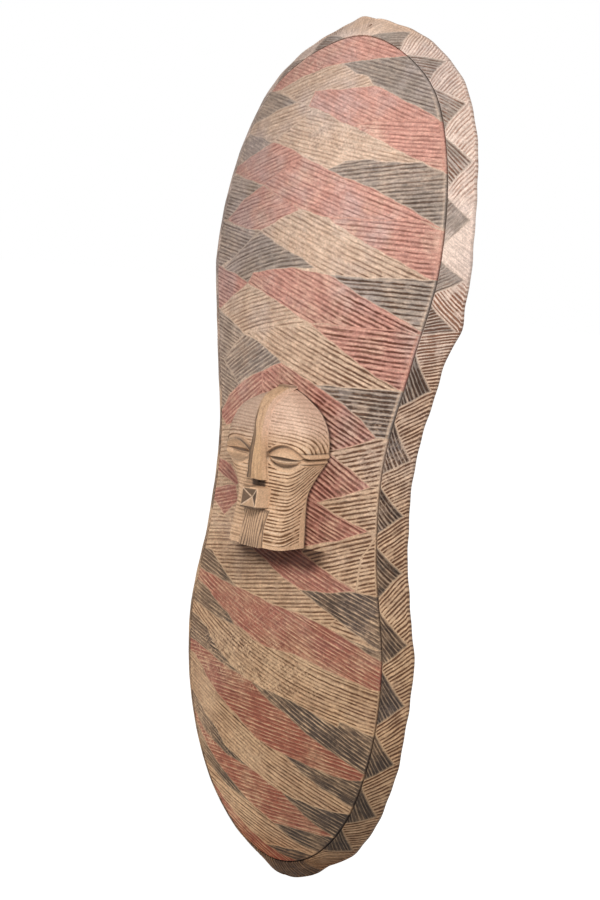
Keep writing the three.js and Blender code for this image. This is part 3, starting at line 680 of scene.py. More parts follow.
# Cut fields of the front panel: pigment, heading of the cuts in degrees, their turn in degrees per
# 100 mm, and corners (across, up). A later field lies over the earlier ones.
FIELDS = [
    ("red", -13, 0, [(-100, 325), (-78, 330), (-55, 343), (-32, 351), (-12, 356), (10, 360), (30, 362),
        (52, 366), (80, 400), (-100, 400)]),
    ("tan", 21, 0, [(-78, 330), (-55, 343), (-32, 351), (-8, 355), (8, 348), (22, 345), (30, 338),
        (18, 335), (0, 333), (-32, 330), (-35, 317), (-52, 320)]),
    ("dark", -11, 0, [(-12, 356), (10, 360), (30, 362), (52, 366), (75, 380), (120, 330), (104, 309),
        (85, 318), (60, 328), (44, 334), (30, 338), (22, 345), (8, 348), (-8, 355)]),
    ("red", -17, 0, [(-32, 330), (0, 333), (30, 337), (44, 334), (60, 328), (85, 318), (104, 309),
        (45, 308), (22, 300), (10, 303), (-8, 310), (-35, 316)]),
    ("red", 1, 0, [(22, 301), (45, 308), (104, 311), (130, 290), (120, 262), (112, 269), (85, 277),
        (55, 289), (30, 297)]),
    ("dark", -12, 0, [(-120, 335), (-92, 329), (-78, 327), (-52, 320), (-70, 313), (-100, 300),
        (-120, 290)]),
    ("tan", 17, 0, [(-112, 290), (-100, 300), (-70, 313), (-52, 320), (-35, 317), (-30, 311),
        (-50, 297), (-72, 282)]),
    ("tan", -8, 0, [(-72, 282), (-50, 297), (-30, 311), (-8, 310), (10, 303), (30, 297), (55, 289),
        (85, 277), (112, 269), (92, 274), (75, 273), (40, 273), (20, 270), (3, 262), (-20, 268),
        (-35, 275), (-60, 281)]),
    ("dark", -20, 0, [(-125, 292), (-88, 286), (-72, 281), (-92, 271), (-125, 254)]),
    ("red", 22, 0, [(-125, 254), (-92, 271), (-72, 281), (-60, 281), (-40, 276), (-28, 270),
        (-45, 262), (-73, 243), (-95, 247)]),
    ("dark", 10, 0, [(3, 262), (20, 270), (40, 273), (75, 273), (92, 274), (112, 268), (130, 262),
        (130, 218), (118, 222), (95, 232), (55, 248), (20, 256)]),
    ("red", -14, 0, [(-73, 243), (-45, 262), (-28, 270), (-20, 268), (3, 262), (20, 256), (55, 248),
        (95, 232), (120, 221), (98, 226), (60, 222), (12, 220), (-10, 223), (-22, 225), (-38, 231)]),
    ("dark", -5, 0, [(-130, 252), (-95, 247), (-73, 242), (-97, 228), (-116, 209), (-130, 205)]),
    ("red", 19, 0, [(-116, 208), (-97, 228), (-73, 242), (-38, 231), (-22, 224), (-45, 214),
        (-66, 202), (-85, 202)]),
    ("red", 0, 0, [(12, 220), (60, 222), (98, 226), (130, 216), (130, 172), (119, 176), (100, 184),
        (70, 196), (40, 207), (20, 215)]),
    ("tan", -17, 0, [(-66, 202), (-45, 214), (-22, 224), (-10, 223), (12, 219), (40, 206), (70, 196),
        (100, 184), (122, 176), (60, 172), (20, 170), (6, 175), (-10, 182), (-28, 187), (-50, 196)]),
    ("dark", -8, 0, [(-130, 208), (-85, 202), (-66, 201), (-100, 174), (-130, 158)]),
    ("dark", 18, -20, [(-112, 164), (-100, 174), (-66, 201), (-50, 196), (-28, 187), (-10, 182),
        (6, 175), (-22, 172), (-50, 168), (-68, 163), (-72, 153), (-92, 160)]),
    ("dark", 1, 0, [(20, 170), (60, 172), (122, 177), (130, 177), (130, 126), (119, 131), (100, 139),
        (80, 147), (60, 155), (35, 165)]),
    ("red", -18, 0, [(-72, 153), (-68, 163), (-50, 168), (-22, 172), (6, 171.5), (20, 170.5),
        (35, 165), (60, 155), (80, 147), (100, 139), (122, 129), (100, 130), (50, 128), (10, 127),
        (0, 129), (-20, 137), (-50, 148)]),
    ("red", 0, 0, [(10, 126), (50, 128), (100, 130), (130, 127), (130, 78), (100, 80), (80, 88),
        (60, 100), (40, 110), (20, 120)]),
    ("red", -12, 0, [(-130, 167), (-92, 160), (-72, 153), (-80, 147), (-96, 138), (-110, 127),
        (-130, 125)]),
    ("tan", 18, -14, [(-110, 126), (-96, 138), (-80, 147), (-68, 151), (-50, 148), (-20, 137),
        (0, 128), (8, 124), (-5, 122), (-35, 117), (-62, 110), (-72, 108), (-90, 117)]),
    ("tan", -18, 0, [(-72, 108), (-62, 110), (-35, 117), (-5, 122), (8, 125), (20, 120), (40, 110),
        (60, 100), (80, 88), (106, 77), (60, 76), (22, 73), (5, 80), (-10, 85), (-25, 92), (-50, 104)]),
    ("dark", -15, 0, [(-130, 130), (-110, 125), (-90, 117), (-70, 107), (-98, 80), (-130, 76)]),
    ("dark", 34, 0, [(-98, 80), (-70, 107), (-50, 104), (-25, 92), (-18, 87), (-35, 80), (-55, 71),
        (-70, 60)]),
    ("dark", -15, 0, [(-130, 88), (-98, 80), (-70, 60), (-84, 48), (-95, 33), (-130, 28)]),
    ("red", 37, 0, [(-97, 30), (-84, 48), (-70, 60), (-50, 73), (-35, 80), (-18, 87), (0, 60),
        (-40, 40), (-84, 20)]),
    ("dark", 2, 0, [(22, 73), (60, 76), (130, 80), (130, 36), (93, 36), (84, 34), (82, 38), (70, 50),
        (50, 62), (32, 69)]),
    ("red", -24, 0, [(-40, 76), (-18, 87), (-10, 85), (5, 80), (22, 73), (32, 69), (50, 62), (70, 50),
        (82, 38), (85, 34), (52, 20), (0, 0), (-30, 40)]),
    ("tan", 20, 0, [(40, 17), (52, 20), (85, 34), (130, 37), (130, -12), (84, -9), (65, 5)]),
    ("red", -29, 0, [(38, 20), (65, 5), (84, -9), (60, -20), (38, -30), (0, -40), (0, 20)]),
    ("tan", 18, 0, [(38, -30), (60, -20), (84, -9), (130, -4), (130, -50), (86, -48), (60, -38)]),
    ("red", -20, 0, [(0, -20), (38, -30), (60, -38), (87, -48), (60, -60), (30, -71), (0, -80)]),
    ("tan", 22, 0, [(28, -77), (30, -71), (60, -60), (87, -48), (93, -52), (85, -70), (82, -101),
        (60, -92), (40, -83)]),
    ("tan", 20, 0, [(85, -70), (93, -52), (130, -45), (130, -106), (90, -104), (82, -102)]),
    ("tan", 12, 0, [(-130, 30), (-97, 30), (-84, 20), (-60, 30), (-20, 0), (-20, -62), (-75, -64),
        (-130, -62)]),
    ("red", -18, 0, [(-130, -8), (-72, -14), (-55, -28), (-60, -31), (-92, -24), (-130, -20)]),
    ("red", 18, 0, [(-130, -45), (-92, -40), (-60, -31), (-55, -45), (-74, -62), (-92, -52)]),
    ("tan", 12, 0, [(-130, -62), (-75, -64), (-38, -62), (-30, -82), (-10, -92), (0, -98), (14, -105),
        (28, -111), (50, -121), (68, -129), (60, -138), (30, -133), (0, -130), (-20, -127),
        (-42, -124), (-50, -122), (-65, -113), (-80, -104), (-88, -99), (-130, -94)]),
    ("tan", -8, 0, [(68, -129), (106, -150), (100, -152), (60, -139)]),
    ("red", -20, 0, [(-38, -80), (-20, -60), (28, -60), (28, -77), (40, -83), (60, -92), (82, -102),
        (60, -107), (40, -110), (28, -111), (14, -105), (0, -98), (-10, -92), (-25, -86)]),
    ("dark", -20, 0, [(28, -111), (40, -110), (60, -107), (82, -103), (90, -104), (130, -103),
        (130, -152), (106, -150), (80, -137), (68, -129), (50, -121)]),
    ("dark", -15, 0, [(78, -146), (106, -151), (130, -150), (130, -163), (112, -163), (100, -156)]),
    ("dark", -12, 0, [(-130, -98), (-88, -99), (-80, -104), (-65, -113), (-50, -122), (-42, -124),
        (-75, -122), (-130, -117)]),
    ("red", -19, 0, [(-130, -117), (-75, -122), (-42, -124), (-20, -127), (0, -130), (30, -133),
        (60, -139), (78, -146), (100, -156), (130, -166), (130, -190), (105, -187), (80, -182),
        (45, -174), (25, -171), (0, -171), (-20, -169), (-30, -163), (-45, -159), (-56, -151),
        (-70, -146), (-85, -137), (-97, -132), (-130, -128)]),
    ("dark", -12, 0, [(-130, -128), (-97, -132), (-85, -137), (-70, -146), (-56, -151), (-45, -160),
        (-75, -159), (-90, -155), (-130, -148)]),
    ("tan", -17, 10, [(-130, -150), (-90, -155), (-75, -159), (-45, -160), (-30, -163), (-20, -169),
        (0, -171), (25, -171), (45, -174), (80, -182), (105, -187), (130, -188), (130, -235),
        (107, -230), (92, -227), (78, -223), (75, -229), (60, -224), (40, -218), (10, -212),
        (-20, -209), (-38, -203), (-60, -193), (-75, -183), (-85, -172), (-98, -166), (-130, -160)]),
    ("dark", -12, 0, [(-130, -160), (-98, -166), (-85, -172), (-75, -183), (-60, -193), (-38, -203),
        (-32, -206), (-60, -201), (-80, -196), (-103, -190), (-130, -187)]),
    ("dark", -26, 0, [(-20, -209), (10, -212), (40, -218), (60, -224), (75, -229), (78, -223),
        (92, -227), (107, -230), (130, -236), (130, -275), (101, -268), (90, -263), (80, -258),
        (60, -249), (40, -240), (20, -228), (0, -219)]),
    ("red", -1, -7, [(-130, -188), (-103, -190), (-80, -196), (-60, -201), (-32, -206), (-20, -209),
        (0, -219), (20, -228), (40, -240), (60, -249), (80, -258), (90, -263), (101, -268), (98, -275),
        (85, -278), (50, -273), (22, -268), (10, -265), (-10, -261), (-20, -256), (-35, -247),
        (-50, -240), (-65, -232), (-80, -222), (-90, -212), (-103, -203), (-130, -200)]),
    ("dark", -18, 0, [(22, -268), (50, -273), (85, -278), (98, -275), (130, -270), (100, -305),
        (88, -303), (80, -299), (60, -291), (40, -281), (28, -272)]),
    ("tan", -21, 0, [(-130, -200), (-103, -203), (-90, -212), (-80, -222), (-65, -232), (-50, -240),
        (-35, -247), (-20, -256), (-10, -261), (10, -265), (22, -268), (28, -272), (40, -281),
        (60, -291), (80, -299), (88, -303), (105, -310), (86, -312), (60, -312), (30, -309),
        (20, -306), (10, -302), (-8, -295), (-30, -289), (-55, -280), (-65, -268), (-85, -258),
        (-95, -248), (-130, -225)]),
    ("dark", -25, 0, [(-130, -225), (-95, -248), (-85, -258), (-65, -268), (-55, -280), (-30, -289),
        (-20, -293), (-50, -289), (-65, -285), (-85, -276), (-103, -258), (-130, -250)]),
    ("red", 3, -6, [(-130, -250), (-103, -258), (-85, -276), (-65, -285), (-50, -289), (-20, -293),
        (-8, -295), (10, -302), (20, -306), (28, -313), (40, -322), (50, -329), (60, -333), (68, -336),
        (65, -339), (40, -340), (8, -340), (-8, -333), (-20, -329), (-32, -322), (-47, -313),
        (-60, -306), (-70, -300), (-85, -288), (-100, -270)]),
    ("dark", -18, 0, [(20, -306), (30, -309), (60, -312), (86, -312), (110, -312), (80, -345),
        (66, -336), (60, -333), (50, -329), (40, -322), (28, -313)]),
    ("dark", -25, 0, [(-110, -262), (-100, -270), (-85, -288), (-70, -300), (-60, -306), (-47, -313),
        (-32, -322), (-20, -329), (-40, -325), (-60, -319), (-86, -306), (-110, -290)]),
    ("tan", -16, 0, [(-110, -295), (-86, -306), (-60, -319), (-40, -325), (-20, -329), (-8, -333),
        (8, -340), (20, -349), (35, -357), (50, -358), (46, -364), (30, -364), (10, -365), (-8, -368),
        (-25, -360), (-45, -348), (-62, -338), (-84, -322)]),
    ("dark", -12, 0, [(8, -340), (40, -340), (65, -339), (90, -340), (60, -362), (50, -358),
        (35, -357), (20, -349)]),
    ("dark", 0, 0, [(-6, -368), (10, -365), (30, -364), (46, -364), (60, -364), (36, -378), (16, -374),
        (4, -371)]),
    ("red", -25, 0, [(-100, -318), (-84, -322), (-62, -338), (-45, -348), (-25, -360), (-8, -368),
        (4, -371), (16, -374), (36, -378), (20, -400), (-80, -400)]),
]


def inside_polygon(corners, x, z):
    """Whether places lie in a polygon, by counting the sides that they see to their right."""
    inside = np.zeros(x.shape, bool)
    for (ax, az), (bx, bz) in zip(corners, corners[1:] + corners[:1]):
        if az != bz:
            crosses = (az > z) != (bz > z)
            inside ^= crosses & (x < ax + (z - az) * (bx - ax) / (bz - az))
    return inside


def side_distance(corners, x, z):
    """Distance from places to the nearest side of a polygon."""
    nearest = np.full(x.shape, FAR)
    for (ax, az), (bx, bz) in zip(corners, corners[1:] + corners[:1]):
        run, rise = bx - ax, bz - az
        share = np.clip(((x - ax) * run + (z - az) * rise) / (run * run + rise * rise), 0, 1)
        nearest = np.minimum(nearest, np.hypot(x - ax - share * run, z - az - share * rise))
    return nearest


def field_pitch(x, z):
    """Distance between the cuts of a field that has its middle at a place: they are wider apart in
    the upper middle and at the foot, and closer at the left edge."""
    middle = smooth(-abs(z - 110), -160, -110) * smooth(x, -60, -10)
    return 3.2 + 0.4 * smooth(-z, -340, -300) + 0.6 * middle - 0.3 * smooth(-x, 50, 90)


def panel_cuts(x, z):
    """Cut values of places on the panel, as one row each of across, room, lip, red and dark."""
    # Field edges were drawn by hand, so they waver
    wobble_x = 0.5 * np.sin(z / 7.3) + 0.35 * np.sin(x / 4.1 + z / 5.9)
    wobble_z = 0.4 * np.sin(x / 8.7 + 1.0) + 0.3 * np.sin(x / 3.7 - z / 6.1)
    wx, wz = x + wobble_x, z + wobble_z
    owner = np.full(x.shape, -1)
    for number, (_, _, _, corners) in enumerate(FIELDS):
        owner[inside_polygon(corners, wx, wz)] = number
    across, room = np.zeros(x.shape), np.full(x.shape, FAR)
    red, dark = np.zeros(x.shape), np.zeros(x.shape)
    spans = [np.array(corners) for _, _, _, corners in FIELDS]
    lows, highs = [s.min(0) - 3 for s in spans], [s.max(0) + 3 for s in spans]
    for number, (pigment, heading, turn, corners) in enumerate(FIELDS):
        mine = owner == number
        if not mine.any():
            continue
        px, pz = x[mine], z[mine]
        angle = math.radians(heading)
        middle = spans[number].mean(0)
        along = (px - middle[0]) * math.cos(angle) + (pz - middle[1]) * math.sin(angle)
        cross = (pz - middle[1]) * math.cos(angle) - (px - middle[0]) * math.sin(angle)
        cross = cross - math.radians(turn) / 100 * along ** 2 / 2
        across[mine] = cross * PITCH / field_pitch(*middle) + 1.3 * number
        low, high = (px.min(), pz.min()), (px.max(), pz.max())
        nearest = side_distance(corners, wx[mine], wz[mine])
        for later in range(number + 1, len(FIELDS)):
            if np.all(lows[later] < high) and np.all(highs[later] > low):
                beside = side_distance(FIELDS[later][3], wx[mine], wz[mine])
                nearest = np.minimum(nearest, beside)
        room[mine] = nearest
        red[mine] = pigment == "red"
        dark[mine] = pigment == "dark"
    return across, room, 1 - smooth(room, 0.3, 0.95), red, dark


# Triangles of the border: base start, apex and base end along the outline, in mm from the top, and
# whether their own cuts, and those of the plain field after them, follow the lower edge
BORDER_TEETH = [
    (10, 42, 53, 0, 0), (62, 90, 104, 0, 0), (113, 137, 160, 0, 0), (164, 190, 215, 0, 0),
    (220, 241, 266, 1, 1), (277, 293, 310, 1, 1), (318, 337, 348, 1, 0), (362, 393, 415, 0, 0),
    (424, 457, 472, 0, 0), (480, 506, 523, 0, 0), (532, 556, 578, 0, 0), (586, 620, 640, 0, 0),
    (642, 676, 699, 0, 0), (704, 734, 758, 0, 0), (762, 792, 812, 0, 0), (818, 840, 858, 0, 0),
]
TOOTH_TIP = 1.8  # how far inside the outline a tooth's apex lies
TICKS_RUN = 46.0  # dark upright cuts on the border's last stretch, round the foot
LEFT_SHIFT = 14.0  # the left border's teeth sit lower than the right ones


def border_cuts(s, inset):
    """Cut values of places on the border: dark teeth from the incised line, plain ones between."""
    s = s + 0.4 * np.sin(inset / 2.9 + s / 9.0)
    dark, nearest = np.zeros(s.shape), np.full(s.shape, FAR)
    rise = (BORDER_RUN - inset) / (BORDER_RUN - TOOTH_TIP)

    def from_edge(base, apex):
        slant = (BORDER_RUN - TOOTH_TIP) / math.hypot(apex - base, BORDER_RUN - TOOTH_TIP)
        return (s - base - (apex - base) * rise) * slant

    across = from_edge(0, BORDER_TEETH[0][0])
    following = BORDER_TEETH[1:] + [(HALF_OUTLINE * 2, HALF_OUTLINE * 2 + 20, 0, 0, 0)]
    for tooth, after in zip(BORDER_TEETH, following):
        start, apex, end, own_lower, next_lower = tooth
        upper, lower, next_upper = (
            from_edge(base, tip) for base, tip in ((start, apex), (end, apex), after[:2]))
        own = (upper > 0) & (lower < 0) & (rise < 1)
        plain = (lower >= 0) & (next_upper < 0)
        across = np.where(own, lower if own_lower else upper, across)
        across = np.where(plain, next_upper if next_lower else lower, across)
        dark = np.maximum(dark, own)
        for edge in (upper, lower):
            nearest = np.minimum(nearest, np.where(rise < 1, np.abs(edge), FAR))
    lip = 1 - smooth(nearest, 0.3, 0.9)
    return across * PITCH / BORDER_PITCH, nearest, lip, np.zeros(s.shape), dark


# Worn places: middle, reach across and up, share of the cuts' depth lost, and strength of scratches
WORN_PLACES = [
    (-95, -240, 40, 70, 0.6, 0.3), (-25, -145, 60, 22, 0.7, 0.25), (-105, 285, 40, 60, 0.45, 0.1),
    (0, 195, 60, 18, 0.35, 0.2), (-20, -190, 105, 34, 0.1, 0.6), (15, 290, 60, 18, 0.3, 0.3),
    (-60, 345, 50, 24, 0.1, 0.3), (-45, -275, 70, 24, 0.3, 0.4), (90, 10, 30, 60, 0.0, 0.25),
    (135, 212, 26, 50, 0.85, 0.0),
]
PLAIN_TIP = 26, 46  # distances along the outline over which the border's cuts set in
TICKS_DARK = 0.8


def wear(x, z, bite):
    """What is left of the cuts' depth in worn places, and how scratched places are."""
    scuffed = np.full(x.shape, 0.06)
    for wx, wz, reach_x, reach_z, share, scuffs in WORN_PLACES:
        near = 1 - smooth(np.hypot((x - wx) / reach_x, (z - wz) / reach_z), 0.5, 1.0)
        bite = bite * (1 - share * near)
        scuffed = np.maximum(scuffed, scuffs * near)
    return bite, scuffed


def front_values(x, z, inset, s):
    """All values of places on the front, by name: those of the cuts (gouge_tree tells of them), how
    strong pigments are, how near the edge of a field is (lip), how much dirt and painted shade its
    cuts hold (dirt_and_shade), how much painted shade lies on it (shade), and how scratched it is
    (scuffed)."""
    inside = inset > BORDER_RUN
    values = np.zeros((5, *x.shape))
    shifted = np.where(x < 0, s - LEFT_SHIFT, s)
    values[:, ~inside] = border_cuts(shifted[~inside], inset[~inside])
    values[:, inside] = panel_cuts(x[inside], z[inside])
    across, room, lip, red, dark = values
    from_line = np.abs(inset - BORDER_RUN)
    room = np.minimum(room, from_line - 0.5)
    ticks = ~inside & (s > HALF_OUTLINE - TICKS_RUN)
    across[ticks] = s[ticks] * np.sign(x[ticks])
    room[ticks] = np.minimum(s[ticks] - HALF_OUTLINE + TICKS_RUN, inset[ticks] + 1)
    dark[ticks] = TICKS_DARK
    bite = (1 - 0.3 * smooth(z, 150, 330)) * np.where(inside, 1, smooth(s, *PLAIN_TIP))
    bite, scuffed = wear(x, z, bite)
    # Cuts are wider where pigment was rubbed in, and hold most dirt and painted shade on the right
    # beside the waist
    waist = smooth(z, -110, -60) * (1 - smooth(z, 120, 200)) * smooth(x, -10, 50)
    high = smooth(z, 60, 160)
    wide = np.where(inside, 0.25, 0.4 + 0.25 * high) + 0.3 * waist + 0.2 * smooth(-z, 40, 120)
    wide = np.maximum(wide, (0.65 - 0.35 * high) * red + (0.95 - 0.45 * high) * dark)
    gap = mask_gap(x, z)
    dirt_and_shade = 0.42 + 0.12 * smooth(x, 20, 80) + 0.3 * waist + np.where(inside, 0, 0.28 - 0.1 * high)
    dirt_and_shade = dirt_and_shade + 0.2 * smooth(-z, 60, 120) * (1 - np.maximum(red, dark))
    # Painted shade in the cuts round the mask
    dirt_and_shade = dirt_and_shade + 0.25 * (1 - smooth(gap, 6, 30))
    dark = dark * (1 - 0.3 * smooth(-x, 45, 95))
    # Shade round the mask's seat and under its chin, and in the incised line
    under_chin = (1 - smooth(gap, 12, 29)) * (z < MASK_FOOT)
    shade = np.minimum(0.85 * (1 - smooth(gap, 0.5, 3.5)) + 1.2 * under_chin, 1)
    crease = (1 - smooth(from_line, 0.25, 0.8)) * np.where(x > 0, smooth(s, 60, 150), 0.3)
    # On the right a bare lip runs inside the line
    beside = (1 - smooth(np.abs(inset - BORDER_RUN - 1.9), 0.5, 1.1)) * (x > 0)
    lip = np.maximum(lip, 1.5 * beside * smooth(s, 90, 150) * smooth(z, -60, 60))
    return {"across": across * MM, "room": room * MM, "bite": bite, "wide": wide, "red": red,
            "dark": dark, "lip": lip, "dirt_and_shade": dirt_and_shade, "border": ~inside, "scuffed": scuffed,
            "shade": np.maximum(shade, crease)}


def fill(mesh, name, values, kind="FLOAT"):
    """Stores one value or vector for each point of a mesh."""
    key = "vector" if kind == "FLOAT_VECTOR" else "value"
    layer = mesh.attributes.new(name, kind, "POINT")
    layer.data.foreach_set(key, np.ascontiguousarray(values, dtype=np.float32).ravel())


def fill_front(piece, values, behind):
    """Stores values, by name, for a piece's front points. The points behind, counted, hold 0."""
    for label, here in values.items():
        fill(piece.data, label, np.concatenate([here.ravel(), np.zeros(behind)]))


def new_piece(name, points, faces):
    """A piece from points in millimetres and faces with three or four corners."""
    mesh = bpy.data.meshes.new(name)
    corners = np.concatenate([np.asarray(part, dtype=np.int32).ravel() for part in faces])
    sizes = np.concatenate([np.full(len(part), np.shape(part)[1], np.int32) for part in faces])
    mesh.vertices.add(len(points))
    mesh.vertices.foreach_set("co", (np.asarray(points) * MM).astype(np.float32).ravel())
    mesh.loops.add(len(corners))
    mesh.loops.foreach_set("vertex_index", corners)
    mesh.polygons.add(len(sizes))
    starts = np.concatenate([[0], np.cumsum(sizes)[:-1]]).astype(np.int32)
    mesh.polygons.foreach_set("loop_start", starts)
    mesh.polygons.foreach_set("use_smooth", np.ones(len(sizes), bool))
    mesh.update(calc_edges=True)
    mesh.validate()
    piece = bpy.data.objects.new(name, mesh)
    bpy.context.collection.objects.link(piece)
    return piece


def sheet_faces(rows, columns, first=0, flip=False):
    """Quads of a grid of points, rows after one another."""
    r, c = np.meshgrid(np.arange(rows - 1), np.arange(columns - 1), indexing="ij")
    a = (first + r * columns + c).ravel()
    quads = np.stack([a, a + 1, a + columns + 1, a + columns], 1)
    return quads[:, ::-1] if flip else quads


def zip_faces(first, second, first_at, second_at, flip=False):
    """Triangles between two chains of points, each with its places along the seam."""
    i = j = 0
    faces = []
    while i < len(first) - 1 or j < len(second) - 1:
        step = j == len(second) - 1 or (
            i < len(first) - 1 and first_at[i + 1] <= second_at[j + 1])
        if step:
            faces.append((first[i], first[i + 1], second[j]))
            i += 1
        else:
            faces.append((first[i], second[j + 1], second[j]))
            j += 1
    faces = np.array(faces)
    return faces[:, ::-1] if flip else faces


def new_shell(name, front, back):
    """A closed piece from two grids of points, with rows upwards and columns to the right."""
    rows, columns = front.shape[:2]
    start = rows * columns
    grid = np.arange(start).reshape(rows, columns)
    back_grid = start + np.arange(back[..., 0].size).reshape(back.shape[:2])
    seams = [
        zip_faces(grid[:, 0], back_grid[:, 0], front[:, 0, 2], back[:, 0, 2]),
        zip_faces(grid[:, -1], back_grid[:, -1], front[:, -1, 2], back[:, -1, 2], True),
        zip_faces(grid[0], back_grid[0], front[0, :, 0], back[0, :, 0], True),
        zip_faces(grid[-1], back_grid[-1], front[-1, :, 0], back[-1, :, 0]),
    ]
    faces = [sheet_faces(rows, columns), sheet_faces(*back.shape[:2], start, True), *seams]
    return new_piece(name, np.concatenate([front.reshape(-1, 3), back.reshape(-1, 3)]), faces)


def crowd(low, high, step, tip_step, stretch):
    """Places from low to high, which crowd together over the last stretch before a tip, if any."""
    plain = np.linspace(low, high - stretch, int(round((high - low - stretch) / step)) + 1)
    if not stretch:
        return plain
    last = int(round(2 * stretch / (step + tip_step)))
    share = np.arange(1, last + 1) / last
    crowded = high - stretch + stretch * (share * (1 + (1 - share) * (step * last / stretch - 1)))
    return np.concatenate([plain, crowded])


def whole_rows(line, columns):
    """Rows from the left edge to the right one, from a part that goes in from the edge and a number
    of columns that divide what is left up to the middle."""
    share = 1 - np.arange(1, columns + 1) / columns
    right = np.concatenate([line, line[:, -1:] * share[None, :]], 1)
    return np.concatenate([-right, right[:, -2::-1]], 1)


def front_columns(z):
    """Places across each row of the front, denser where the border and the incised line are."""
    insets = np.array(BORDER_INSETS)[None, :]
    least = inset_x(0.0, z)[:, None] * (1 - 0.65 * insets / insets[:, -1:])
    return whole_rows(np.maximum(inset_x(insets, z[:, None]), least), PANEL_COLUMNS)


def back_columns(z):
    """Places across each row of the back, denser where the hollow begins."""
    land = land_width(z)[:, None]
    shares = np.array([0, 0.12, 0.25, 0.4, 0.6, 0.8, 1.0])[None, :]
    insets = np.concatenate([np.full_like(land, BACK_EDGE), land / 2, land + HOLLOW_RUN * shares], 1)
    least = inset_x(0.0, z)[:, None] * (1 - 0.6 * insets / insets[:, -1:])
    return whole_rows(np.maximum(inset_x(insets, z[:, None]), least), HOLLOW_COLUMNS)


# Where the hand-cut outline strays: side or both (0), distance from the top along it, reach, and
# push outwards
EDGE_BUMPS = [
    (1, 232, 42, -2.6), (1, 334, 18, 5.6), (1, 300, 20, 0.8), (-1, 16, 9, 3.2), (1, 20, 14, -1.2),
    (0, HALF_OUTLINE, 24, 3.0), (-1, HALF_OUTLINE - 42, 19, -2.2), (1, HALF_OUTLINE - 58, 20, -4.0),
    (1, 700, 22, -1.0), (1, 640, 16, 1.6), (-1, 300, 30, 0.8),
]
STRAY_DEPTH = 15.0  # how far inside the outline a stray dies out


def stray(x, z):
    """How far places move because the outline was cut by eye, as shifts across and up."""
    side = np.sign(x)
    s, inset = edge_distance(np.abs(x), z)
    push = 0.3 * np.sin(s / 9.0 + side) + 0.25 * np.sin(s / 4.3)
    for where, middle, reach, most in EDGE_BUMPS:
        push = push + most * np.exp(-((s - middle) / reach) ** 2) * ((side == where) | (where == 0))
    push = push * (1 - smooth(inset, 1, STRAY_DEPTH))
    _, _, way, rise = on_edge(s)
    return -side * way * push, -rise * push


def board_slab(number, low, high):
    """One length of the board as a closed mesh: finely cut front, hollow back, edges and ends."""
    at_foot, at_top = low < -HALF_LENGTH + 1, high > HALF_LENGTH - 1
    front_z, back_z = (
        crowd(low, high, step, tip_step, stretch if at_top or at_foot else 0)
        for step, tip_step, stretch in (FRONT_ROWS, BACK_ROWS))
    if at_foot:
        front_z, back_z = (low + high - z[::-1] for z in (front_z, back_z))
    x = front_columns(front_z)
    z = np.repeat(front_z[:, None], x.shape[1], 1)
    height = front_height(x, z)
    height[:, 0] = height[:, -1] = bow(front_z) + RIM_EDGE - RIM_ROUND
    s, inset = edge_distance(np.abs(x), z)
    values = front_values(x, z, inset, s)
    # At the rim the cuts are painted but not sunk, which keeps the outline smooth
    way = outward_of(front_height, x, z, 1) * smooth(inset, 0, 1.3)[..., None]
    nail = np.hypot(x, z - (HALF_LENGTH - NAIL_HOLE_DROP))
    height -= NAIL_HOLE_DEPTH * (1 - smooth(nail, NAIL_HOLE / 2 - 0.4, NAIL_HOLE / 2 + 0.1))
    rim_foot = bow(front_z) + BACK_EDGE
    rim = [np.stack([x[:, k], rim_foot, front_z], -1)[:, None] for k in (0, -1)]
    front = np.concatenate([rim[0], np.stack([x, height, z], -1), rim[1]], 1)
    bx = back_columns(back_z)
    bz = np.repeat(back_z[:, None], bx.shape[1], 1)
    back = np.stack([bx, back_height(bx, bz), bz], -1)
    for part in (front, back):
        part[..., 1] = GRIP_DEPTH - part[..., 1]
        across, up = stray(part[..., 0], part[..., 2])
        part[..., 0] += across
        part[..., 2] += up
    piece = new_shell(f"board_length_{number}", front, back)
    hollow = smooth(edge_distance(np.abs(bx), bz)[1], 2.0, 8.0).ravel()
    values["adze"] = np.zeros(x.shape)
    for label, here in values.items():
        behind = np.maximum(hollow, 0.02) if label == "adze" else np.zeros(bx.size)
        rimmed = np.pad(here, ((0, 0), (1, 1)), mode="edge").ravel()
        fill(piece.data, label, np.concatenate([rimmed, behind]))
    front_way = np.pad(way, ((0, 0), (1, 1), (0, 0)), mode="edge").reshape(-1, 3)
    back_way = outward_of(back_height, bx, bz, -1).reshape(-1, 3)
    fill(piece.data, "outward", np.concatenate([front_way, back_way]), "FLOAT_VECTOR")
    return piece


def settle(piece, sharp_from, node):
    """Shades a piece smoothly but for edges that turn more than an angle, hangs it on the root body and
    hides the part of the solid model that it replaces.
    """
    piece.data.set_sharp_from_angle(angle=math.radians(sharp_from))
    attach(piece, "root")
    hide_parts(node)


def add_board(cuts, wood, bare):
    edges = [-HALF_LENGTH + TIP_GAP, *SLAB_CUTS, HALF_LENGTH - TIP_GAP]
    for number, (low, high) in enumerate(zip(edges, edges[1:]), 1):
        piece = board_slab(number, low, high)
        run_geometry_tree(piece, cuts, Wood=wood, Bare_wood=bare)
        settle(piece, 75, "shield_board")


# Mask

OUTLINE_CURVE, PROFILE_CURVE, CREST_CURVE, BEARD_CURVE = (
    share_curve(table) for table in (MASK_OUTLINE, MASK_PROFILE, CREST, BEARD))


def look_up(curve, share):
    """The further rows of a curve, at shares of its first row."""
    return [np.interp(share, curve[0], row) for row in curve[1:]]


def mask_section(z):
    """Half width, depth and crown of the mask at heights."""
    share = (z - MASK_FOOT) / MASK_HEIGHT
    half = np.maximum(MASK_WIDTH / 2 * look_up(OUTLINE_CURVE, share)[0], SEAT_GAP)
    depth, crown = look_up(PROFILE_CURVE, share)
    return half, MASK_DEPTH * depth, MASK_DEPTH * depth * crown


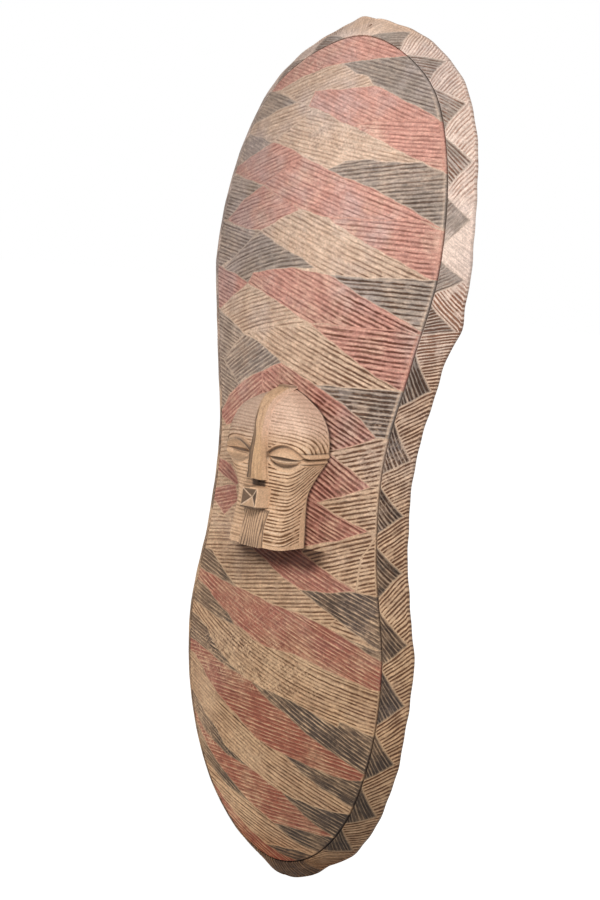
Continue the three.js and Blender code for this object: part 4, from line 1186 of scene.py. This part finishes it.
def crest_section(z):
    """Top width, base width and rise of the crest and nose at heights."""
    return look_up(CREST_CURVE, np.clip((z - MASK_FOOT) / MASK_HEIGHT, CREST[0][0], CREST[-1][0]))


def beard_section(z):
    """Top width, base width and rise of the beard at heights."""
    top, base, rise = look_up(BEARD_CURVE, np.clip((z - MASK_FOOT) / BEARD_HEIGHT, 0, 1))
    return top * BEARD_WIDTH, base * BEARD_WIDTH, rise * BEARD_RISE


def face_height(z):
    """Height of the mask's middle line over the wall plane."""
    return front_height(np.zeros(z.shape), z) + mask_section(z)[1]


def mask_gap(x, z):
    """How far places on the board are outside the mask's outline."""
    beyond = np.maximum(MASK_FOOT - z, 0) + np.maximum(z - MASK_TOP, 0)
    half = mask_section(np.clip(z, MASK_FOOT, MASK_TOP))[0]
    return np.hypot(np.maximum(np.abs(x - MASK_OFFSET) - half, 0), beyond)


def mask_front(z, columns):
    """Places on the uncut mask in rows, and their distance from its middle line along the wood."""
    half, depth, crown = mask_section(z)
    base = front_height(np.zeros(z.shape), z)
    power = 2 / MASK_SQUARENESS
    step = np.linspace(0, 1, 300)
    angle = math.pi / 2 * step ** 4 / (step ** 4 + (1 - step) ** 4)
    rows = []
    for side in (-1, 1):
        foot = front_height(MASK_OFFSET + side * half, z) + SEAT_GAP - base
        for row, level in enumerate(z):
            share = np.cos(angle) ** power
            rise = (depth[row] - crown[row]) * np.sin(angle) ** power
            rise = rise + crown[row] * (1 - share ** 2)
            x = np.concatenate([[half[row]], half[row] * share])
            rise = np.concatenate([[foot[row]], rise])
            length = np.concatenate([[0], np.cumsum(np.hypot(np.diff(x), np.diff(rise)))])
            at = length[-1] * np.arange(columns + 1) / columns
            x, rise = np.interp(at, length, x), np.interp(at, length, rise)
            place = [MASK_OFFSET + side * x, GRIP_DEPTH - base[row] - rise,
                     np.full(columns + 1, level), side * (length[-1] - at)]
            rows.append(np.stack(place, -1)[::-side])
    count = len(z)
    return np.stack([np.concatenate([a, b[1:]]) for a, b in zip(
        [row[::-1] for row in rows[:count]], rows[count:])])


def grid_outward(points):
    """Unit directions out of a grid of points."""
    way = np.cross(np.gradient(points, axis=1), np.gradient(points, axis=0))
    return way / np.maximum(np.linalg.norm(way, axis=-1), 1e-9)[..., None]


def almond(across, up, length, opening):
    """Distance inside an almond that has a length and an opening; negative outside it."""
    edge = opening / 2 * (1 - (2 * across / length) ** 2)
    slope = 4 * opening * across / length ** 2
    inside = (edge - np.abs(up)) / np.sqrt(1 + slope ** 2)
    beyond = -np.hypot(np.maximum(np.abs(across) - length / 2, 0), up)
    return np.where(np.abs(across) < length / 2, inside, np.minimum(inside, beyond))


# Lines that run from each eye to the mask's edge: height over the eye, rise and width
EYE_LINES = ((2.8, 1.9, 1.9), (-1.9, 1.4, 1.3), (0.3, -1.2, 0.7), (-4.4, -0.9, 0.8))
# Painted shade and dirt that run along the lines beside the eye
DIRT_AND_SHADE_LINES = ((6.0, 0.7), (0.2, 0.6), (-4.2, 0.6))  # height and width


def bell(value, width):
    return np.exp(-(value / width) ** 2)


def eye_relief(x, z, u):
    """How far the wood stands out round the closed eyes, with sunk sockets, round lids, slits and lines
    beside them, and the painted shade and painted highlights on it there."""
    left = x < MASK_OFFSET
    across, up = np.abs(x - MASK_OFFSET) - EYE_SPACING / 2, z - EYE_LEVEL
    socket = almond(across, up, EYE_LENGTH + 2 * SOCKET_MARGIN, EYE_OPENING + 2 * SOCKET_MARGIN)
    lid = almond(across, up, EYE_LENGTH, EYE_OPENING)
    slit = almond(across, up + 0.3, EYE_LENGTH * SLIT_SHARE, SLIT_WIDTH)
    relief = np.sin(np.clip(lid / LID_ROUND, 0, 1) * math.pi / 2) * (LID_RISE + SOCKET_DEPTH)
    relief -= np.where(up > 0, smooth(socket, 0, 0.9), smooth(socket, 0, 2.8)) * SOCKET_DEPTH
    relief -= SLIT_DEPTH * smooth(slit, -0.6, 0.4)
    outer_corner = (EYE_SPACING + EYE_LENGTH) / 2
    outside = smooth(np.abs(u), outer_corner - 3, outer_corner)
    for level, rise, width in EYE_LINES:
        relief += outside * rise * bell(up - level, width)
    # Lower lid: a pale roll under the slit with a painted highlight, and painted shade below it
    roll = bell(up + 2.5, 0.9) * smooth(lid, 0.3, 1.5)
    relief += 0.9 * roll
    below = np.where(left, 0.4, 0.72) * smooth(-up, 3.4, 5.6) * (lid > -1)
    # Painted shade: a dark crescent over the upper lid, darkest towards the nose, and a dark inner
    # corner
    crescent = 0.95 * bell(lid + 1, 1.25) * (1 - 0.5 * smooth(across, -8, 8)) * (up > -1)
    corner = 0.9 * bell(across + EYE_LENGTH / 2 + 0.5, 1.8) * bell(up + 1.5, 3.5)
    # Painted shade also lies in the slit and along the lines beside the eye
    stain_and_shade = np.maximum.reduce([
        0.9 * smooth(slit, -0.8, 0.2), below, crescent * (socket > 0), corner,
        *(0.7 * outside * bell(up - level, width) for level, width in DIRT_AND_SHADE_LINES)])
    pale = np.maximum(0.6 * roll, 0.45 * bell(lid + 1.5, 0.8) * (up < -2))
    return relief, socket, outside, stain_and_shade, pale


def mask_cuts(x, z, u, socket, outside):
    """Across, room and bite of the cuts on the mask: arcs over the eyes, dipping lines below."""
    up, away, aside = z - EYE_LEVEL, np.abs(u), np.abs(x - MASK_OFFSET)
    arc = np.hypot(0.47 * np.maximum(away - EYE_SPACING / 2, 0), np.maximum(up - 3, 0))
    past = np.maximum(away - 29, 0)
    dip = (0.3 + 0.36 * smooth(z, -55, 0)) * past ** 2 / (past + 6) - up
    across = np.where(up > 3, arc * 1.12, dip)
    crest = aside - crest_section(z)[1] / 2 - 0.4
    beard = aside - beard_section(z)[1] / 2 - 0.3
    mouth = np.maximum(aside, np.abs(z - MOUTH_LEVEL)) - MOUTH_WIDTH / 2 - 0.3
    edge = np.abs(u[:, -1:]) - away - 1.0 - 6 * smooth(-z, 28, 50)
    room = np.minimum.reduce([
        -socket - 0.4, np.where(outside > 0.5, np.abs(up + 0.3) - 5.2, FAR),
        np.where(z > MASK_FOOT + NOSE_FOOT - 2, crest, FAR), np.where(z < BEARD_TOP + 1, beard, FAR),
        mouth, edge, z - MASK_FOOT - 2.5])
    # Cuts are shallower over the brow, and on the left, most of all on its cheek
    left = x < MASK_OFFSET
    bite = 1 - 0.6 * smooth(z, 14, 42) - 0.15 * smooth(z, 42, 56) - 0.15 * left
    return across, room, bite * (1 - 0.45 * left * (1 - smooth(z, -15, 5)))


def face_shade_and_dirt(x, z, u):
    """Painted shadow under the nose and the mouth, and painted shade with dirt at the mask's seat and
    beside the beard.
    """
    aside = np.abs(x - MASK_OFFSET)
    nose = (1 - smooth(aside, 6, 9)) * (1 - smooth(np.abs(z - MASK_FOOT - NOSE_FOOT + 3.5), 3, 4.5))
    below = MOUTH_LEVEL - MOUTH_WIDTH / 2 - z
    chin = (1 - smooth(aside, 8, 11)) * smooth(below, -1, 0) * (1 - smooth(below, 1, 7))
    seat = 1 - smooth(np.abs(u[:, -1:]) - np.abs(u), 0.2, 1.6)
    beard = (1 - smooth(np.abs(aside - beard_section(z)[1] / 2), 0.3, 1.1)) * (z < BEARD_TOP)
    return np.maximum.reduce([0.95 * nose, 0.6 * seat, 0.8 * beard, 0.7 * chin])


def add_mask_face(cuts, wood):
    eye_low, eye_high, brow = EYE_LEVEL - 15, EYE_LEVEL + 16, MASK_TOP - 14
    crowded = np.linspace(0, 1, 46)[1:]
    z = np.concatenate([
        np.linspace(MASK_FOOT, eye_low, 128)[:-1], np.linspace(eye_low, eye_high, 96)[:-1],
        np.linspace(eye_high, brow, 60), brow + 13.9 * crowded * (1.65 - 0.65 * crowded)])
    grid = mask_front(z, 128)
    points, u = grid[..., :3], grid[..., 3]
    x, height = points[..., 0], points[..., 2]
    relief, socket, outside, stain_and_shade, pale = eye_relief(x, height, u)
    across, room, bite = mask_cuts(x, height, u, socket, outside)
    front = points + grid_outward(points) * relief[..., None]
    bx = MASK_OFFSET + mask_section(z)[0][:, None] * np.linspace(-1, 1, 41)[None, :]
    bz = np.repeat(z[:, None], 41, 1)
    back = np.stack([bx, GRIP_DEPTH - front_height(bx, bz) - SEAT_GAP, bz], -1)
    piece = new_shell("mask_face", front, back)
    fill_front(piece, {
        "across": across * MM, "room": room * MM, "bite": bite, "pale": pale,
        "stain_and_shade": np.maximum(stain_and_shade, face_shade_and_dirt(x, height, u)),
        "wide": np.full(x.shape, 0.35), "adze": np.zeros(x.shape)}, bx.size)
    way = [grid_outward(front).reshape(-1, 3), np.tile((0.0, 1.0, 0.0), (bx.size, 1))]
    fill(piece.data, "outward", np.concatenate(way), "FLOAT_VECTOR")
    run_geometry_tree(
        piece, cuts, Pitch=MASK_PITCH * MM, Depth=MASK_CUT_DEPTH * MM, Wander=MASK_WANDER * MM,
        Wood=wood, Bare_wood=wood)
    settle(piece, 80, "mask_carving")


def rounded_slope(x, top, base):
    """Section of a ridge: 0 at its base, 1 on its top, with a rounded shoulder."""
    share = (base / 2 - np.abs(x)) / (base / 2 - top / 2)
    return np.where(share > 1.15, 1, share - np.maximum(share - 0.85, 0) ** 2 / 0.6)


def add_mask_piece(name, wood, front, back, values, sharp_from):
    """A carved piece of the mask that has no gouge cuts."""
    piece = new_shell(name, front, back)
    fill_front(piece, values, back[..., 0].size)
    piece.data.materials.append(wood)
    settle(piece, sharp_from, "mask_carving")


def add_ridge(name, wood, z, section, columns, ripple, paint):
    """A ridge on the mask's middle line, with a ripple on its height and its own colours."""
    top, base, rise = section(z)
    half, _, crown = mask_section(z)
    x = np.linspace(-1, 1, columns)[None, :] * base[:, None] / 2
    level = np.repeat(z[:, None], columns, 1)
    slope = rounded_slope(x, top[:, None], base[:, None])
    bumps = ripple(x, level)
    bend = crown[:, None] * (x / np.maximum(half, 14)[:, None]) ** 2
    height = slope * (rise[:, None] + 1) - 1 + bumps + face_height(z)[:, None] - bend
    front = np.stack([MASK_OFFSET + x, GRIP_DEPTH - height, level], -1)
    back = front[:, ::4].copy()
    back[..., 1] = GRIP_DEPTH - face_height(z)[:, None] + 4
    add_mask_piece(name, wood, front, back, paint(x, level, slope, bumps), 50)


def add_crest(wood):
    """Crest over the forehead, which widens into the wedge of the nose."""
    z = np.linspace(MASK_FOOT + NOSE_FOOT, MASK_FOOT + MASK_HEIGHT * CREST[-1][0], 150)

    def bevel(x, z):
        """How far inside the bevelled left edge of the top a place lies."""
        return -x - (crest_section(z)[0] / 2 - 2.0 - 3.0 * (1 - smooth(z, 16, 40)))

    def ripple(x, z):
        waves = 0.25 * np.sin(z / 3.1 + x / 2.2) * np.sin(z / 7.7) + 0.12 * np.sin(x * 1.7 + z / 5)
        return waves - 0.3 * np.clip(bevel(x, z), 0, 3)

    def paint(x, z, slope, bumps):
        inner = bevel(x, z)
        # Painted shade with dirt along the left bevel and beside the nose's right foot; the crest's top
        # end is darker
        left = 0.62 + 0.25 * smooth(np.abs(inner - 2), 0.8, 1.6)
        left = left * smooth(inner, -0.3, 0.2) * (1 - smooth(z, 40, 58))
        right_foot = 0.7 * (1 - smooth(slope, 0.1, 0.3)) * (1 - smooth(z, 14, 22))
        end = 0.6 * smooth(z, MASK_TOP - 1, MASK_TOP + 1)
        flank = 1 - smooth(slope, 0.75, 1.0)
        return {"crest": 1 - 0.8 * flank * (x > 0),
                "stain_and_shade": np.maximum(np.where(x < 0, left, right_foot), end)}

    add_ridge("mask_crest", wood, z, crest_section, 41, ripple, paint)


def add_beard(wood):
    """Beard of upright strands that spread towards the chin's edge."""
    z = np.linspace(MASK_FOOT - 0.4, BEARD_TOP, 60)

    def strands(x, z):
        share = x / (1 + 0.12 * (BEARD_TOP - z) / BEARD_HEIGHT)
        line = share / 2.4 + 0.3 * np.sin(z / 9 + x / 3)
        return 0.9 * (np.abs(np.sin(math.pi * line)) ** 0.6 - 1)

    def paint(x, z, slope, bumps):
        # Painted shade and dirt in the strands' grooves and low down, and painted shadow under the
        # mouth at the beard's top
        strand_dirt_and_shade = 0.2 + 0.2 * smooth(MASK_FOOT + 12 - z, 0, 10) + 0.6 * smooth(-bumps, 0.15, 0.6)
        return {"stain_and_shade": np.maximum(strand_dirt_and_shade, 0.75 * (1 - smooth(BEARD_TOP - z, 0, 5)))}

    add_ridge("mask_beard", wood, z, beard_section, 97, strands, paint)


def add_mouth(wood):
    """Square mouth whose end is cut in as four triangles that meet in the middle."""
    half = MOUTH_WIDTH / 2
    side = np.concatenate([[-half, -half + 0.3, -half + 0.8], np.linspace(-half + 1.5, half - 1.5, 31),
                           [half - 0.8, half - 0.3, half]])
    x, up = np.meshgrid(side, side)
    reach = np.maximum(np.abs(x), np.abs(up))
    edge = half - reach
    opening = half - MOUTH_FRAME
    face = face_height(np.array([MOUTH_LEVEL]))[0]
    height = face + MOUTH_REACH - 0.7 * (1 - smooth(edge, -0.1, 0.9))
    height = height - MOUTH_SINK * np.maximum(1 - reach / opening, 0)
    level = MOUTH_LEVEL + up + 0.25 * np.sin(x / 4)
    aside = MASK_OFFSET + MOUTH_ASIDE + x + 0.3 * np.sin(up / 5)
    front = np.stack([aside, GRIP_DEPTH - height, level], -1)
    back = front[::6, ::6].copy()
    back[..., 0] += MOUTH_ASIDE * smooth(x[::6, ::6], 0, half)
    back[..., 1] = GRIP_DEPTH - face + 9
    pit = reach < opening
    cross = (1 - smooth(np.abs(np.abs(x) - np.abs(up)), 0.4, 0.9)) * pit
    # Painted shade: the pit's triangles are darker by the way they face, the left edge and the lower
    # edge lie in painted shade, and the pale cross is worn wood
    dirt_and_shade = np.select([up < -np.abs(x), x > np.abs(up), up > np.abs(x)], [0.3, 0.93, 0.82], 0.86)
    under = 0.85 * (1 - smooth(up + half, 0.9, 1.6))
    stain_and_shade = dirt_and_shade * pit * (1 - cross) + 0.6 * (1 - smooth(edge, 0.0, 0.5)) * (x < 0)
    stain_and_shade = np.minimum(stain_and_shade + under, 1)
    add_mask_piece("mask_mouth", wood, front, back, {"pale": cross, "stain_and_shade": stain_and_shade}, 35)


# Stage


def by_ray(t, light, picture, output):
    """Ends a tree with one shader for the light that it gives and one for what the camera sees."""
    rays = t.node("ShaderNodeLightPath").outputs
    seen = t.math("MAXIMUM", rays["Is Camera Ray"], rays["Is Glossy Ray"])
    mixed = t.node("ShaderNodeMixShader", seen, light.outputs[0], picture.outputs[0])
    t.feed(t.node(output).inputs["Surface"], mixed.outputs[0])


def add_stage():
    """White floor and surroundings: they show white to the camera and keep the shield's shadow."""
    mesh = bpy.data.meshes.new("floor")
    level = -HALF_LENGTH * MM - FLOOR_DROP
    mesh.from_pydata([(x * FLOOR_REACH, y * FLOOR_REACH, level) for x, y in (
        (-1, -1), (1, -1), (1, 1), (-1, 1))], [], [(0, 1, 2, 3)])
    floor = bpy.data.objects.new("floor", mesh)
    bpy.context.collection.objects.link(floor)
    material = bpy.data.materials.new("white_floor")
    material.use_nodes = True
    material.node_tree.nodes.clear()
    t = Tree(material.node_tree)
    matte = t.node("ShaderNodeBsdfDiffuse", (0.8, 0.8, 0.8, 1.0))
    glow = t.node("ShaderNodeEmission", (*WHITE, 1.0), FLOOR_GLOW)
    glowing = t.node("ShaderNodeAddShader", matte.outputs[0], glow.outputs[0])
    by_ray(t, matte, glowing, "ShaderNodeOutputMaterial")
    mesh.materials.append(material)
    world = bpy.data.worlds.new("studio")
    bpy.context.scene.world = world
    world.use_nodes = True
    world.node_tree.nodes.clear()
    t = Tree(world.node_tree)
    soft, white = (
        t.node("ShaderNodeBackground", (*WHITE, 1.0), power) for power in (SKY_LIGHT, 1.0))
    by_ray(t, soft, white, "ShaderNodeOutputWorld")


bpy.context.scene.view_settings.view_transform = "Standard"
add_camera()
for name, row in LAMPS.items():
    add_lamp(name, *row)
add_stage()

gouge_cuts = gouge_tree()
board_wood = carved_material()
hollow_wood = bare_material("bare_hollow_wood", (0.30, 0.185, 0.105), (0.17, 0.10, 0.058), 0.8)
add_board(gouge_cuts, board_wood, hollow_wood)

mask_wood = mask_material()
add_mask_face(gouge_cuts, mask_wood)
add_crest(mask_wood)
add_mouth(mask_wood)
add_beard(mask_wood)

SLOT_WOODS = {
    "grip": bare_material("grip_wood", (0.26, 0.155, 0.085), (0.15, 0.085, 0.05), 0.65),
    "bar": bare_material("bar_wood", (0.22, 0.12, 0.065), (0.13, 0.07, 0.04), 0.45, sheen=0.5),
    "peg": bare_material("peg_wood", (0.18, 0.11, 0.065), (0.11, 0.065, 0.04), 0.7),
}
for row in frame["record"]["subparts"]:
    if row["material_slot"] in SLOT_WOODS:
        node = frame["nodes"][row["node"]]
        node.data.materials.clear()
        node.data.materials.append(SLOT_WOODS[row["material_slot"]])
